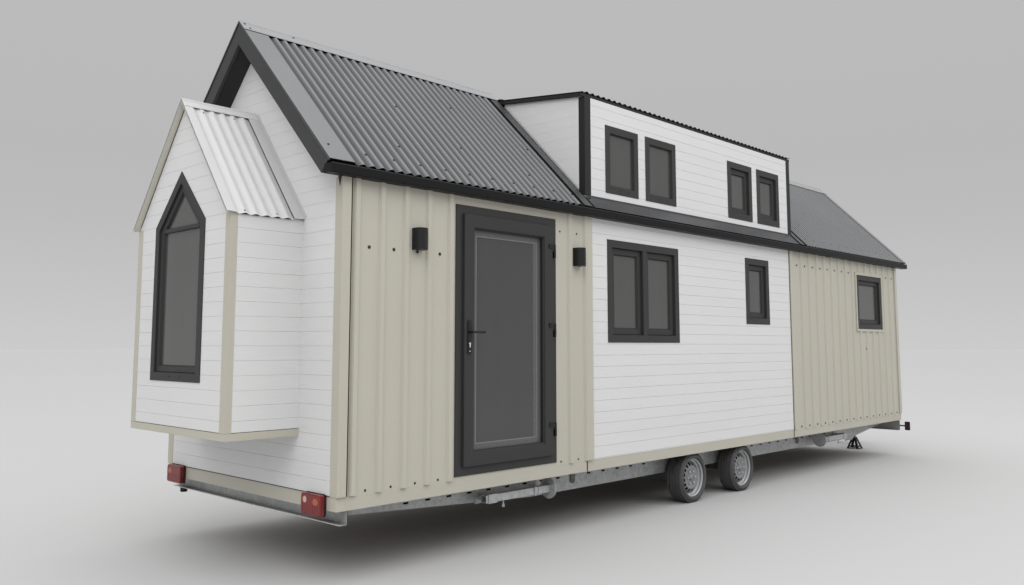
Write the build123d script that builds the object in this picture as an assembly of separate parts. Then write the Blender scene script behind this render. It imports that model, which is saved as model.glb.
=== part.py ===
from build123d import *
import math
import os

# Tiny house on a twin-axle road trailer.  Millimetres, +Z up, ground at Z = 0.
# X runs from the rear gable with its bay window (X = 0) to the drawbar end,
# Y from the door wall (Y = 0) to the opposite wall.  At the end the whole
# house is moved so that the origin lies on the ground under its middle.

# ---- house body -------------------------------------------------------------
LENGTH = 9633
WIDTH = 2367
DECK_UNDERSIDE = 476
DECK_THICKNESS = 113
WALL = 110
ZONE_REAR_X = 2573          # door zone | white boarded zone
ZONE_FRONT_X = 6362         # white boarded zone | front zone
CENTRE_Y = WIDTH / 2
FLOOR = DECK_UNDERSIDE + DECK_THICKNESS

# ---- main roof --------------------------------------------------------------
ROOF_AT_WALL = 2810.5       # crests of the sheets over the outer face of the wall
ROOF_PITCH = 45
EAVE_OVERHANG = 57
REAR_OVERHANG = 145
FRONT_OVERHANG = 275
ROOF_DECK = 100             # boards and rafters, square to the slope
SHEET = 20                  # corrugated sheet, crest to trough
RIDGE_GAP = 1.5             # half the gap between sheets at the ridge
SHEET_LIP = 4               # sheets past the gable boards
SHEET_EAVE_LIP = 12
CAP_WING = 120
CAP_THICKNESS = 3
CAP_END_GAP = 12
BARGE_DEPTH = 110
BARGE_THICKNESS = 25
GUTTER_REACH = 86
GUTTER_DROP = 158.5         # gutter's underside below ROOF_AT_WALL
GUTTER_CHAMFER = 20
GUTTER_HEIGHT = 76
GUTTER_WALL = 4

# ---- loft dormers, one each side --------------------------------------------
DORMER_REAR_X = 2606
DORMER_FRONT_X = 6500
DORMER_SETBACK = 52
DORMER_WALL = 90
DORMER_PITCH = 6.6
DORMER_DROP = 61            # dormer roof below the main ridge at the middle
DORMER_ROOF = 48
DORMER_EAVE = 12
DORMER_VERGE = 35
ROOF_SEAT = 0.01            # slack between the dormer walls and their roof
TRIM_FACE = 74
TRIM_PROUD = 6
LOFT_UNDERSIDE = 2480
LOFT_THICKNESS = 60

# ---- bay on the rear gable --------------------------------------------------
BAY_SHIFT = -31.5           # bay's middle from the middle of the gable
BAY_HALF_WIDTH = 698
BAY_DEPTH = 540
BAY_UNDERSIDE = 926
BAY_FLOOR = 74
BAY_WALL = 80
BAY_RIDGE_HEIGHT = 3291
BAY_PITCH = 50.8
BAY_ROOF = 60               # sheet and boards, square to the slope
BAY_SHEET = 22
BAY_EAVE = 26
BAY_VERGE = 49
BAY_CAP = 3
BAY_CAP_WING = 85
BAY_OPENING_INSET = 40

# ---- windows: outer frame edges ---------------------------------------------
FRAME_FACE = 60
FRAME_DEPTH = 70
FRAME_PROUD = 12
SASH_FACE = 42
SASH_DEPTH = 44
SASH_RECESS = 16
PANE = 8
PANE_RECESS = 34
SIDE_WINDOWS = [(2835, 3971, 1561, 2481, 2), (5288, 5813, 1767, 2492, 1), (8237, 9075, 1753, 2476, 1)]
DORMER_SILL_RISE = 106.5    # sill above ROOF_AT_WALL
DORMER_WINDOW_HEIGHT = 629
DORMER_WINDOWS = [(2891, 3396), (3516, 4037), (5049, 5579), (5693, 6219)]
BAY_WINDOW_SHIFT = 28       # window's middle from the bay's middle
BAY_WINDOW_HALF = 380
BAY_WINDOW_SILL = 1287
BAY_WINDOW_SHOULDER = 2394
BAY_WINDOW_TIP = 2771

# ---- entrance door ----------------------------------------------------------
DOOR_LEFT = 1012
DOOR_RIGHT = 2133
DOOR_HEAD = 2586
JAMB = 90
LEAF_REVEAL = 66            # frame face left showing round the leaf
LEAF_PROUD = 37
LEAF_LIP = 20
LEAF_INNER = 35
LEAF_GAP = 6
STILE = 108
HINGE_RADIUS = 9
HINGE_HEIGHT = 110
HINGE_ARM = 50
HINGE_ARM_HEIGHT = 32
HINGE_PLAY = 0.3
HINGE_OFFSET = 17           # hinge axis beyond the leaf's edge
HINGE_OUT = 44              # hinge axis in front of the wall
HINGE_LEVELS = [860, 1660, 2310]
HANDLE_LEVEL = 1635
PLATE_DROP = 0.65           # share of the plate below the spindle
PANE_BACK = 45              # glass behind the leaf's outer face
INNER_PLATE_CUT = 8
HANDLE_INSET = 46
SPINDLE_RADIUS = 4.5
SPINDLE_CLEARANCE = 0.5
PLATE_WIDTH = 34
PLATE_HEIGHT = 245
PLATE_THICKNESS = 8
LEVER_LENGTH = 125
LEVER_RADIUS = 9
LEVER_STANDOFF = 34
NECK_CLEARANCE = 0.3

# ---- wall lamps and trims ---------------------------------------------------
LAMP_X = [647, 2416]
LAMP_LEVEL = 2287
LAMP_WIDTH = 100
LAMP_HEIGHT = 155
LAMP_DEPTH = 80
TRIM = 4
TRIM_WING = 62
JOINT_WIDTH = 70
BAY_SIDE_WING = 40
TRIM_JOINT = 0.5            # gap where one flashing ends against the next
BASE_TRIM_HEIGHT = 92

# ---- trailer ----------------------------------------------------------------
RAIL_SETBACK = 228
RAIL_BOTTOM = 295
RAIL_PLATE = 6
RAIL_FLANGE = 60
RAIL_REAR_X = 95
RAIL_REAR_BOTTOM = 404
RAIL_TAPER_REAR_X = 2064
RAIL_TAPER_FRONT_X = 8400
RAIL_FRONT_X = 9560
RAIL_FRONT_BOTTOM = 430
CROSS_HEIGHT = 80
CROSS_FLANGE = 45
CROSS_PLATE = 5
CROSS_COUNT = 14
CROSS_START = 560           # first cross member from the rails' end
REAR_BEAM_BOTTOM = 384
REAR_BEAM_FLANGE = 61
FRONT_BEAM_BOTTOM = 334
FRONT_BEAM_X = 9600
BEAM_PLATE = 6
BEAM_END = 5

# ---- axles and wheels -------------------------------------------------------
AXLES = [4234, 5186]
TYRE_RADIUS = 240
TYRE_WIDTH = 186
TYRE_SETBACK = 19
RIM_RADIUS = 172
HUB_BORE = 30
SPINDLE = 29.6
AXLE_TUBE = 80
AXLE_PAD_HALF = 70
SPINDLE_INSET = 62          # spindle's end behind the tyre's outer side
WELL_DEPTH = 34
WELL_MARGIN = 30
DISC_THICKNESS = 6
VENT_COUNT = 16
VENT_RADIUS = 12
VENT_CIRCLE = 141
TYRE_WALL = 30
TYRE_SHOULDER = 22
TYRE_CROWN = 5
BEAD_SETBACK = 16
RIM_WALL = 7
DISC_SETBACK = 34           # disc's flat behind the barrel's outer edge
DISC_DISH = 12
DISC_FLAT_RADIUS = 90
DISH_INNER_RADIUS = 112
DISH_OUTER_RADIUS = 128
HUB_RADIUS = 58
CAP_RADIUS = 40
CAP_TOP_RADIUS = 24
CAP_HEIGHT = 30
CAP_ROUND = 8
CAP_FLANGE = 9

# ---- drawbar and stands -----------------------------------------------------
DRAWBAR_ROOT_X = 8369
DRAWBAR_NOSE_X = 10700
DRAWBAR_TOP = 334
DRAWBAR_HEIGHT = 80
DRAWBAR_WIDTH = 80
DRAWBAR_NOSE_GAP = 66
NOSE_PLATE = 10
NOSE_LENGTH = 260
NOSE_HALF_WIDTH = 160
COUPLING_LENGTH = 230
COUPLING_RADIUS = 34
COUPLING_REACH = 60         # ball's middle in front of the drawbar
HEAD_WALL = 17
HEAD_CUT = 12
BALL_RADIUS = 25
FRONT_STAND_X = 9804
STAND_FOOT = 225
STAND_CAP = 70
STAND_BASE_HEIGHT = 147
STAND_POST = 50
PROP_SPANS = [(1494, 2164), (7924, 7244)]
PROP_LEVEL = 369
PROP_SETBACK = 114
PROP_TUBE = 56
PROP_WALL = 4
PROP_PAD_RADIUS = 85
PROP_PAD = 8
PROP_TAIL = 70              # tube behind the pivot
SLEEVE_HALF = 45
SLEEVE_WALL = 6
BOSS_RADIUS = 26
CLAMP_HALF = 60
CLAMP_BELOW = 50
CLAMP_ABOVE = 70
CLAMP_PLATE = 8
CLAMP_CLEARANCE = 0.3

# ---- lamps of the trailer ---------------------------------------------------
TAIL_WIDTH = 240
TAIL_NEAR_WIDTH = 234
TAIL_NEAR_INSET = 98
TAIL_HEIGHT = 144
TAIL_DEPTH = 50
TAIL_BOTTOM = 433
TAIL_INSET = 61
MARKER_OUT = 138
MARKER_IN = 63
MARKER_BOTTOM = 340
MARKER_HEIGHT = 119
MARKER_THICKNESS = 30
MARKER_STALK = 9

TAN_ROOF = math.tan(math.radians(ROOF_PITCH))
RIDGE_HEIGHT = ROOF_AT_WALL + CENTRE_Y * TAN_ROOF
GUTTER_BOTTOM = ROOF_AT_WALL - GUTTER_DROP
DORMER_SILL = ROOF_AT_WALL + DORMER_SILL_RISE
DORMER_HEAD = DORMER_SILL + DORMER_WINDOW_HEIGHT
BAY_CENTRE_Y = CENTRE_Y + BAY_SHIFT
BAY_WINDOW_CENTRE_Y = BAY_CENTRE_Y + BAY_WINDOW_SHIFT
COS_ROOF = math.cos(math.radians(ROOF_PITCH))
SIN_ROOF = math.sin(math.radians(ROOF_PITCH))
TAN_DORMER = math.tan(math.radians(DORMER_PITCH))
COS_DORMER = math.cos(math.radians(DORMER_PITCH))
TAN_BAY = math.tan(math.radians(BAY_PITCH))
COS_BAY = math.cos(math.radians(BAY_PITCH))
SIN_BAY = math.sin(math.radians(BAY_PITCH))

parts = {}


# ---- shaping helpers --------------------------------------------------------
def block(x0, x1, y0, y1, z0, z1):
    return Pos((x0 + x1) / 2, (y0 + y1) / 2, (z0 + z1) / 2) * Box(x1 - x0, y1 - y0, z1 - z0)


def along_x(outline, x0, x1):
    """A prism whose (y, z) outline runs from x0 to x1."""
    face = make_face(Polyline(*[(x0, y, z) for y, z in outline], close=True))
    return extrude(face, amount=x1 - x0, dir=(1, 0, 0))


def along_y(outline, y0, y1):
    """A prism whose (x, z) outline runs from y0 to y1."""
    face = make_face(Polyline(*[(x, y0, z) for x, z in outline], close=True))
    return extrude(face, amount=y1 - y0, dir=(0, 1, 0))


def along_z(outline, z0, z1):
    """A prism whose (x, y) outline runs from z0 to z1."""
    face = make_face(Polyline(*[(x, y, z0) for x, y in outline], close=True))
    return extrude(face, amount=z1 - z0, dir=(0, 0, 1))


def rod_y(x, z, radius, y0, y1):
    return Pos(x, (y0 + y1) / 2, z) * Rot(90, 0, 0) * Cylinder(radius, y1 - y0)


def rod_x(y, z, radius, x0, x1):
    return Pos((x0 + x1) / 2, y, z) * Rot(0, 90, 0) * Cylinder(radius, x1 - x0)


def opposite(shape):
    """The same piece on the other side of the house."""
    return mirror(shape, about=Plane(origin=(0, CENTRE_Y, 0), z_dir=(0, 1, 0)))


def both_sides(*shapes):
    return list(shapes) + [opposite(shape) for shape in shapes]


def keep(name, *shapes):
    solids = []
    for shape in shapes:
        solids += list(shape.solids())
    parts[name] = solids[0] if len(solids) == 1 else Compound(solids)


# ---- roof planes ------------------------------------------------------------
def roof_z(y, depth=0):
    """Height of the main slope over y, depth below the sheet's crests."""
    return RIDGE_HEIGHT - abs(CENTRE_Y - y) * TAN_ROOF - depth / COS_ROOF


def dormer_z(y, depth=0):
    return RIDGE_HEIGHT - DORMER_DROP - abs(CENTRE_Y - y) * TAN_DORMER - depth / COS_DORMER


def bay_z(y, depth=0):
    return BAY_RIDGE_HEIGHT - abs(BAY_CENTRE_Y - y) * TAN_BAY - depth / COS_BAY


def layer(top, bottom, eave_y, peak_y, pitch_sin, pitch_cos, height):
    """Outline of one slope between two depths, its eave end cut square to the slope."""
    y_top = eave_y + top * pitch_sin
    y_bottom = eave_y + bottom * pitch_sin
    z_eave = height(eave_y)
    return [
        (y_top, z_eave - top * pitch_cos),
        (peak_y, height(peak_y, top)),
        (peak_y, height(peak_y, bottom)),
        (y_bottom, z_eave - bottom * pitch_cos),
    ]


ROOF_DEPTH = SHEET + ROOF_DECK
SOFFIT_Y = -EAVE_OVERHANG + ROOF_DEPTH * SIN_ROOF
SOFFIT_Z = roof_z(-EAVE_OVERHANG) - ROOF_DEPTH * COS_ROOF
BOARD_REAR = -REAR_OVERHANG + BARGE_THICKNESS
BOARD_FRONT = LENGTH + FRONT_OVERHANG - BARGE_THICKNESS

# ---- floor ------------------------------------------------------------------
well_rear = AXLES[0] - TYRE_RADIUS - WELL_MARGIN
well_front = AXLES[1] + TYRE_RADIUS + WELL_MARGIN
well = block(well_rear, well_front, 0, RAIL_SETBACK, DECK_UNDERSIDE, DECK_UNDERSIDE + WELL_DEPTH)
deck = block(0, LENGTH, 0, WIDTH, DECK_UNDERSIDE, FLOOR)
keep("floor_deck", deck - well - opposite(well))
keep("loft_floor", block(DORMER_REAR_X, DORMER_FRONT_X, WALL, WIDTH - WALL,
                         LOFT_UNDERSIDE, LOFT_UNDERSIDE + LOFT_THICKNESS))

# ---- long walls -------------------------------------------------------------
wall_outline = [
    (0, FLOOR),
    (0, SOFFIT_Z),
    (SOFFIT_Y, SOFFIT_Z),
    (WALL, roof_z(WALL, ROOF_DEPTH)),
    (WALL, FLOOR),
]


def window_hole(x0, x1, z0, z1, y0=-FRAME_PROUD, depth=WALL + 40):
    return block(x0, x1, y0 - 1, y0 + depth, z0, z1)


long_wall = along_x(wall_outline, 0, LENGTH)
for x0, x1, z0, z1, panes in SIDE_WINDOWS:
    long_wall = long_wall - window_hole(x0, x1, z0, z1)
keep("far_wall", opposite(long_wall))
keep("near_wall_rear", along_x(wall_outline, 0, DOOR_LEFT))
keep("near_wall_over_door", along_x(wall_outline, DOOR_LEFT, DOOR_RIGHT)
     - block(DOOR_LEFT, DOOR_RIGHT, -1, WALL + 1, 0, DOOR_HEAD))
keep("near_wall_front", long_wall - block(-1, DOOR_RIGHT, -1, WALL + 1, 0, RIDGE_HEIGHT))

# ---- gable walls ------------------------------------------------------------
gable_outline = [
    (WALL, FLOOR),
    (WALL, roof_z(WALL, ROOF_DEPTH)),
    (CENTRE_Y, roof_z(CENTRE_Y, ROOF_DEPTH)),
    (WIDTH - WALL, roof_z(WALL, ROOF_DEPTH)),
    (WIDTH - WALL, FLOOR),
]
bay_in = BAY_HALF_WIDTH - BAY_WALL - BAY_OPENING_INSET
bay_opening = [
    (BAY_CENTRE_Y - bay_in, BAY_UNDERSIDE + BAY_FLOOR),
    (BAY_CENTRE_Y - bay_in, bay_z(BAY_CENTRE_Y - bay_in, BAY_ROOF)),
    (BAY_CENTRE_Y, bay_z(BAY_CENTRE_Y, BAY_ROOF)),
    (BAY_CENTRE_Y + bay_in, bay_z(BAY_CENTRE_Y + bay_in, BAY_ROOF)),
    (BAY_CENTRE_Y + bay_in, BAY_UNDERSIDE + BAY_FLOOR),
]
keep("rear_wall", along_x(gable_outline, 0, WALL) - along_x(bay_opening, -1, WALL + 1))
keep("front_wall", along_x(gable_outline, LENGTH - WALL, LENGTH))

# ---- main roof --------------------------------------------------------------
deck_slope = layer(SHEET, ROOF_DEPTH, -EAVE_OVERHANG, CENTRE_Y, SIN_ROOF, COS_ROOF, roof_z)
roof_slope = along_x(deck_slope, BOARD_REAR, BOARD_FRONT)
dormer_notch = block(DORMER_REAR_X, DORMER_FRONT_X, DORMER_SETBACK, WIDTH, 0, 2 * RIDGE_HEIGHT)
roof_slope = roof_slope - dormer_notch
keep("roof_slope_near", roof_slope)
keep("roof_slope_far", opposite(roof_slope))

sheet_eave_y = -EAVE_OVERHANG - SHEET_EAVE_LIP
sheet_slope = layer(0, SHEET, sheet_eave_y, CENTRE_Y - RIDGE_GAP, SIN_ROOF, COS_ROOF, roof_z)
rear_sheet = along_x(sheet_slope, -REAR_OVERHANG - SHEET_LIP, DORMER_REAR_X)
front_sheet = along_x(sheet_slope, DORMER_FRONT_X, LENGTH + FRONT_OVERHANG + SHEET_LIP)
keep("roof_sheets", *both_sides(rear_sheet, front_sheet))


def ridge_wing(tangent, cosine, drop, x0, x1):
    top = RIDGE_HEIGHT - drop
    rise = CAP_THICKNESS / cosine
    foot = CAP_WING * cosine
    outline = [
        (CENTRE_Y - foot, top - foot * tangent),
        (CENTRE_Y, top),
        (CENTRE_Y + foot, top - foot * tangent),
        (CENTRE_Y + foot, top - foot * tangent + rise),
        (CENTRE_Y, top + rise),
        (CENTRE_Y - foot, top - foot * tangent + rise),
    ]
    return along_x(outline, x0, x1)


cap_gap = DORMER_VERGE + CAP_END_GAP
main_caps = [
    ridge_wing(TAN_ROOF, COS_ROOF, 0, -REAR_OVERHANG - SHEET_LIP, DORMER_REAR_X - cap_gap),
    ridge_wing(TAN_DORMER, COS_DORMER, DORMER_DROP, DORMER_REAR_X, DORMER_FRONT_X),
    ridge_wing(TAN_ROOF, COS_ROOF, 0, DORMER_FRONT_X + cap_gap, LENGTH + FRONT_OVERHANG + SHEET_LIP),
]

barge_half = layer(SHEET, SHEET + BARGE_DEPTH, -EAVE_OVERHANG, CENTRE_Y, SIN_ROOF, COS_ROOF, roof_z)


def bargeboard(x0):
    half = along_x(barge_half, x0, x0 + BARGE_THICKNESS)
    return half + opposite(half)


keep("bargeboards", bargeboard(-REAR_OVERHANG), bargeboard(BOARD_FRONT))

gutter_outline = [
    (-GUTTER_REACH, GUTTER_BOTTOM + GUTTER_HEIGHT),
    (-GUTTER_REACH, GUTTER_BOTTOM + GUTTER_CHAMFER),
    (-GUTTER_REACH + GUTTER_CHAMFER, GUTTER_BOTTOM),
    (0, GUTTER_BOTTOM),
    (0, GUTTER_BOTTOM + GUTTER_CHAMFER),
    (-GUTTER_WALL, GUTTER_BOTTOM + GUTTER_CHAMFER),
    (-GUTTER_WALL, GUTTER_BOTTOM + GUTTER_WALL),
    (-GUTTER_REACH + GUTTER_CHAMFER + GUTTER_WALL / 2, GUTTER_BOTTOM + GUTTER_WALL),
    (-GUTTER_REACH + GUTTER_WALL, GUTTER_BOTTOM + GUTTER_CHAMFER + GUTTER_WALL / 2),
    (-GUTTER_REACH + GUTTER_WALL, GUTTER_BOTTOM + GUTTER_HEIGHT),
]
gutter = along_x(gutter_outline, -REAR_OVERHANG, LENGTH + FRONT_OVERHANG)
keep("gutters", *both_sides(gutter))

# ---- dormers ----------------------------------------------------------------
DORMER_DEPTH = SHEET + DORMER_ROOF
DORMER_SEAT = DORMER_DEPTH + ROOF_SEAT
inner_y = DORMER_SETBACK + DORMER_WALL
dormer_wall_outline = [
    (DORMER_SETBACK, roof_z(DORMER_SETBACK, ROOF_DEPTH)),
    (DORMER_SETBACK, dormer_z(DORMER_SETBACK, DORMER_SEAT)),
    (inner_y, dormer_z(inner_y, DORMER_SEAT)),
    (inner_y, roof_z(inner_y, ROOF_DEPTH)),
]
dormer_wall = along_x(dormer_wall_outline, DORMER_REAR_X, DORMER_FRONT_X)
for x0, x1 in DORMER_WINDOWS:
    dormer_wall = dormer_wall - window_hole(x0, x1, DORMER_SILL, DORMER_HEAD,
                                            DORMER_SETBACK - FRAME_PROUD)
keep("dormer_front_walls", *both_sides(dormer_wall))

cheek_outline = [
    (inner_y, roof_z(inner_y, ROOF_DEPTH)),
    (inner_y, dormer_z(inner_y, DORMER_SEAT)),
    (CENTRE_Y - RIDGE_GAP, dormer_z(CENTRE_Y - RIDGE_GAP, DORMER_SEAT)),
    (CENTRE_Y - RIDGE_GAP, roof_z(CENTRE_Y - RIDGE_GAP, ROOF_DEPTH)),
]
keep("dormer_cheeks", *both_sides(
    along_x(cheek_outline, DORMER_REAR_X, DORMER_REAR_X + DORMER_WALL),
    along_x(cheek_outline, DORMER_FRONT_X - DORMER_WALL, DORMER_FRONT_X)))

dormer_eave_y = DORMER_SETBACK - DORMER_EAVE
dormer_roof_outline = [
    (dormer_eave_y, dormer_z(dormer_eave_y)),
    (CENTRE_Y - RIDGE_GAP, dormer_z(CENTRE_Y - RIDGE_GAP)),
    (CENTRE_Y - RIDGE_GAP, dormer_z(CENTRE_Y - RIDGE_GAP, DORMER_DEPTH)),
    (dormer_eave_y, dormer_z(dormer_eave_y, DORMER_DEPTH)),
]
dormer_roof = along_x(dormer_roof_outline, DORMER_REAR_X - DORMER_VERGE, DORMER_FRONT_X + DORMER_VERGE)
under_main_roof = [
    (dormer_eave_y - 1, roof_z(dormer_eave_y - 1)),
    (CENTRE_Y, RIDGE_HEIGHT),
    (CENTRE_Y, 0),
    (dormer_eave_y - 1, 0),
]
for x0, x1 in ((0, DORMER_REAR_X), (DORMER_FRONT_X, LENGTH)):
    dormer_roof = dormer_roof - along_x(under_main_roof, x0, x1)
keep("dormer_roofs", *both_sides(dormer_roof))

corner_top = dormer_z(DORMER_SETBACK - TRIM_PROUD, DORMER_DEPTH)
corner_foot = roof_z(DORMER_SETBACK - TRIM_PROUD, SHEET)


def dormer_corner(x0, x1):
    return along_x([(DORMER_SETBACK - TRIM_PROUD, corner_foot), (DORMER_SETBACK - TRIM_PROUD, corner_top),
                    (DORMER_SETBACK, corner_top), (DORMER_SETBACK, corner_foot + TRIM_PROUD)], x0, x1)


keep("dormer_corner_trims", *both_sides(
    dormer_corner(DORMER_REAR_X, DORMER_REAR_X + TRIM_FACE),
    dormer_corner(DORMER_FRONT_X - TRIM_FACE, DORMER_FRONT_X)))

# ---- trims of the body ------------------------------------------------------
trim_top = GUTTER_BOTTOM
trim_foot = DECK_UNDERSIDE + BASE_TRIM_HEIGHT
side_strip = block(-TRIM, LENGTH + TRIM, -TRIM, 0, DECK_UNDERSIDE, trim_foot - TRIM_JOINT)
door_gap = block(DOOR_LEFT, DOOR_RIGHT, -2 * TRIM, 0, FLOOR, RIDGE_HEIGHT)
end_strips = [block(x, x + TRIM, TRIM_JOINT, WIDTH - TRIM_JOINT, DECK_UNDERSIDE, trim_foot - TRIM_JOINT)
              for x in (-TRIM, LENGTH)]
keep("base_trim", side_strip - door_gap, opposite(side_strip), *end_strips)


def corner_trim(x_corner, x_in):
    """An L-shaped flashing round a corner of the body, open to the inside."""
    low, high = sorted((x_corner, x_in))
    face = block(low, high, -TRIM, 0, trim_foot, trim_top)
    x_out = x_corner - TRIM if x_in > x_corner else x_corner + TRIM
    side_low, side_high = sorted((x_corner, x_out))
    side = block(side_low, side_high, -TRIM, TRIM_WING, trim_foot, trim_top)
    return face + side


joint_strips = []
for x_joint in (ZONE_REAR_X, ZONE_FRONT_X):
    joint_strips.append(block(x_joint - JOINT_WIDTH / 2, x_joint + JOINT_WIDTH / 2, -TRIM, 0,
                              trim_foot, trim_top))
body_trims = both_sides(corner_trim(0, TRIM_WING), corner_trim(LENGTH, LENGTH - TRIM_WING), *joint_strips)

# ---- bay --------------------------------------------------------------------
bay_near = BAY_CENTRE_Y - BAY_HALF_WIDTH
bay_far = BAY_CENTRE_Y + BAY_HALF_WIDTH
bay_eave_y = bay_near - BAY_EAVE
bay_wall_top = bay_z(bay_near, BAY_ROOF)


def bay_opposite(shape):
    return mirror(shape, about=Plane(origin=(0, BAY_CENTRE_Y, 0), z_dir=(0, 1, 0)))


keep("bay_floor", block(-BAY_DEPTH, 0, bay_near, bay_far, BAY_UNDERSIDE, BAY_UNDERSIDE + BAY_FLOOR))
bay_side_outline = [
    (bay_near, BAY_UNDERSIDE + BAY_FLOOR),
    (bay_near, bay_wall_top),
    (bay_near + BAY_WALL, bay_z(bay_near + BAY_WALL, BAY_ROOF)),
    (bay_near + BAY_WALL, BAY_UNDERSIDE + BAY_FLOOR),
]
bay_side = along_x(bay_side_outline, -BAY_DEPTH + BAY_WALL, 0)
keep("bay_side_walls", bay_side, bay_opposite(bay_side))

bay_front_outline = [
    (bay_near, BAY_UNDERSIDE + BAY_FLOOR),
    (bay_near, bay_wall_top),
    (BAY_CENTRE_Y, bay_z(BAY_CENTRE_Y, BAY_ROOF)),
    (bay_far, bay_wall_top),
    (bay_far, BAY_UNDERSIDE + BAY_FLOOR),
]


def pointed(inset, x0, x1):
    """The bay window's house-shaped outline, taken in by inset on every edge."""
    half = BAY_WINDOW_HALF - inset
    rise = BAY_WINDOW_TIP - BAY_WINDOW_SHOULDER
    slant = math.atan2(rise, BAY_WINDOW_HALF)
    tip = BAY_WINDOW_TIP - inset / math.cos(slant)
    shoulder = tip - half * math.tan(slant)
    mid = BAY_WINDOW_CENTRE_Y
    sill = BAY_WINDOW_SILL + inset
    return along_x([(mid - half, sill), (mid - half, shoulder), (mid, tip), (mid + half, shoulder),
                    (mid + half, sill)], x0, x1)


bay_front = along_x(bay_front_outline, -BAY_DEPTH, -BAY_DEPTH + BAY_WALL)
keep("bay_front_wall", bay_front - pointed(0, -BAY_DEPTH - 1, -BAY_DEPTH + BAY_WALL + 1))

bay_sheet_half = along_x(
    layer(0, BAY_SHEET, bay_eave_y, BAY_CENTRE_Y, SIN_BAY, COS_BAY, bay_z), -BAY_DEPTH - BAY_VERGE, 0)
bay_slab_outline = [
    (bay_near, bay_wall_top),
    (bay_near, bay_z(bay_near, BAY_SHEET)),
    (BAY_CENTRE_Y, bay_z(BAY_CENTRE_Y, BAY_SHEET)),
    (BAY_CENTRE_Y, bay_z(BAY_CENTRE_Y, BAY_ROOF)),
]
bay_roof_half = bay_sheet_half + along_x(bay_slab_outline, -BAY_DEPTH, 0)
keep("bay_roof", bay_roof_half + bay_opposite(bay_roof_half))

cap_foot = BAY_CAP_WING * COS_BAY
cap_rise = BAY_CAP / COS_BAY
bay_cap_outline = [
    (BAY_CENTRE_Y - cap_foot, bay_z(BAY_CENTRE_Y - cap_foot)),
    (BAY_CENTRE_Y, BAY_RIDGE_HEIGHT),
    (BAY_CENTRE_Y + cap_foot, bay_z(BAY_CENTRE_Y + cap_foot)),
    (BAY_CENTRE_Y + cap_foot, bay_z(BAY_CENTRE_Y + cap_foot) + cap_rise),
    (BAY_CENTRE_Y, BAY_RIDGE_HEIGHT + cap_rise),
    (BAY_CENTRE_Y - cap_foot, bay_z(BAY_CENTRE_Y - cap_foot) + cap_rise),
]
bay_cap = along_x(bay_cap_outline, -BAY_DEPTH - BAY_VERGE, 0)
keep("ridge_caps", *main_caps, bay_cap)

bay_trim_foot = BAY_UNDERSIDE + BAY_FLOOR + TRIM_JOINT
bay_trim_top = bay_z(bay_near - TRIM, BAY_SHEET) - 2 * TRIM_JOINT
bay_corner = (block(-BAY_DEPTH - TRIM, -BAY_DEPTH + BAY_SIDE_WING, bay_near - TRIM, bay_near,
                    bay_trim_foot, bay_trim_top)
              + block(-BAY_DEPTH - TRIM, -BAY_DEPTH, bay_near - TRIM, bay_near + TRIM_WING,
                      bay_trim_foot, bay_trim_top))
bay_base = (block(-BAY_DEPTH - TRIM, 0, bay_near - TRIM, bay_far + TRIM, BAY_UNDERSIDE,
                  BAY_UNDERSIDE + BAY_FLOOR)
            - block(-BAY_DEPTH, 0, bay_near, bay_far, 0, RIDGE_HEIGHT))
keep("wall_trims", *body_trims, bay_corner, bay_opposite(bay_corner), bay_base)

window_x = -BAY_DEPTH - FRAME_PROUD
bay_frame = (pointed(0, window_x, window_x + FRAME_DEPTH)
             - pointed(FRAME_FACE, window_x - 1, window_x + FRAME_DEPTH + 1))
bay_sash = (pointed(FRAME_FACE, window_x + SASH_RECESS, window_x + SASH_RECESS + SASH_DEPTH)
            - pointed(FRAME_FACE + SASH_FACE, window_x, window_x + FRAME_DEPTH + 1))
transom = block(window_x + SASH_RECESS, window_x + SASH_RECESS + SASH_DEPTH,
                BAY_WINDOW_CENTRE_Y - BAY_WINDOW_HALF + FRAME_FACE,
                BAY_WINDOW_CENTRE_Y + BAY_WINDOW_HALF - FRAME_FACE,
                BAY_WINDOW_SHOULDER - SASH_FACE, BAY_WINDOW_SHOULDER)
keep("bay_window_frame", bay_frame + bay_sash + transom)
bay_glass = pointed(FRAME_FACE + SASH_FACE, window_x + PANE_RECESS, window_x + PANE_RECESS + PANE) - transom
keep("bay_window_glass", bay_glass)


# ---- rectangular windows ----------------------------------------------------
def window_frame(x0, x1, z0, z1, lights, wall_y):
    """Outer frame with one or two sashes, standing a little proud of the wall."""
    front = wall_y - FRAME_PROUD
    frame = block(x0, x1, front, front + FRAME_DEPTH, z0, z1)
    frame = frame - block(x0 + FRAME_FACE, x1 - FRAME_FACE, front - 1, front + FRAME_DEPTH + 1,
                          z0 + FRAME_FACE, z1 - FRAME_FACE)
    sash_front = front + SASH_RECESS
    left = x0 + FRAME_FACE
    step = (x1 - x0 - 2 * FRAME_FACE) / lights
    for k in range(lights):
        a = left + k * step
        b = a + step
        sash = block(a, b, sash_front, sash_front + SASH_DEPTH, z0 + FRAME_FACE, z1 - FRAME_FACE)
        frame = frame + (sash - pane_block(a, b, z0, z1, front - 1, front + FRAME_DEPTH + 1))
    return frame


def pane_block(a, b, z0, z1, y0, y1):
    return block(a + SASH_FACE, b - SASH_FACE, y0, y1,
                 z0 + FRAME_FACE + SASH_FACE, z1 - FRAME_FACE - SASH_FACE)


def window_panes(x0, x1, z0, z1, lights, wall_y):
    front = wall_y - FRAME_PROUD + PANE_RECESS
    left = x0 + FRAME_FACE
    step = (x1 - x0 - 2 * FRAME_FACE) / lights
    return [pane_block(left + k * step, left + (k + 1) * step, z0, z1, front, front + PANE)
            for k in range(lights)]


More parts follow.
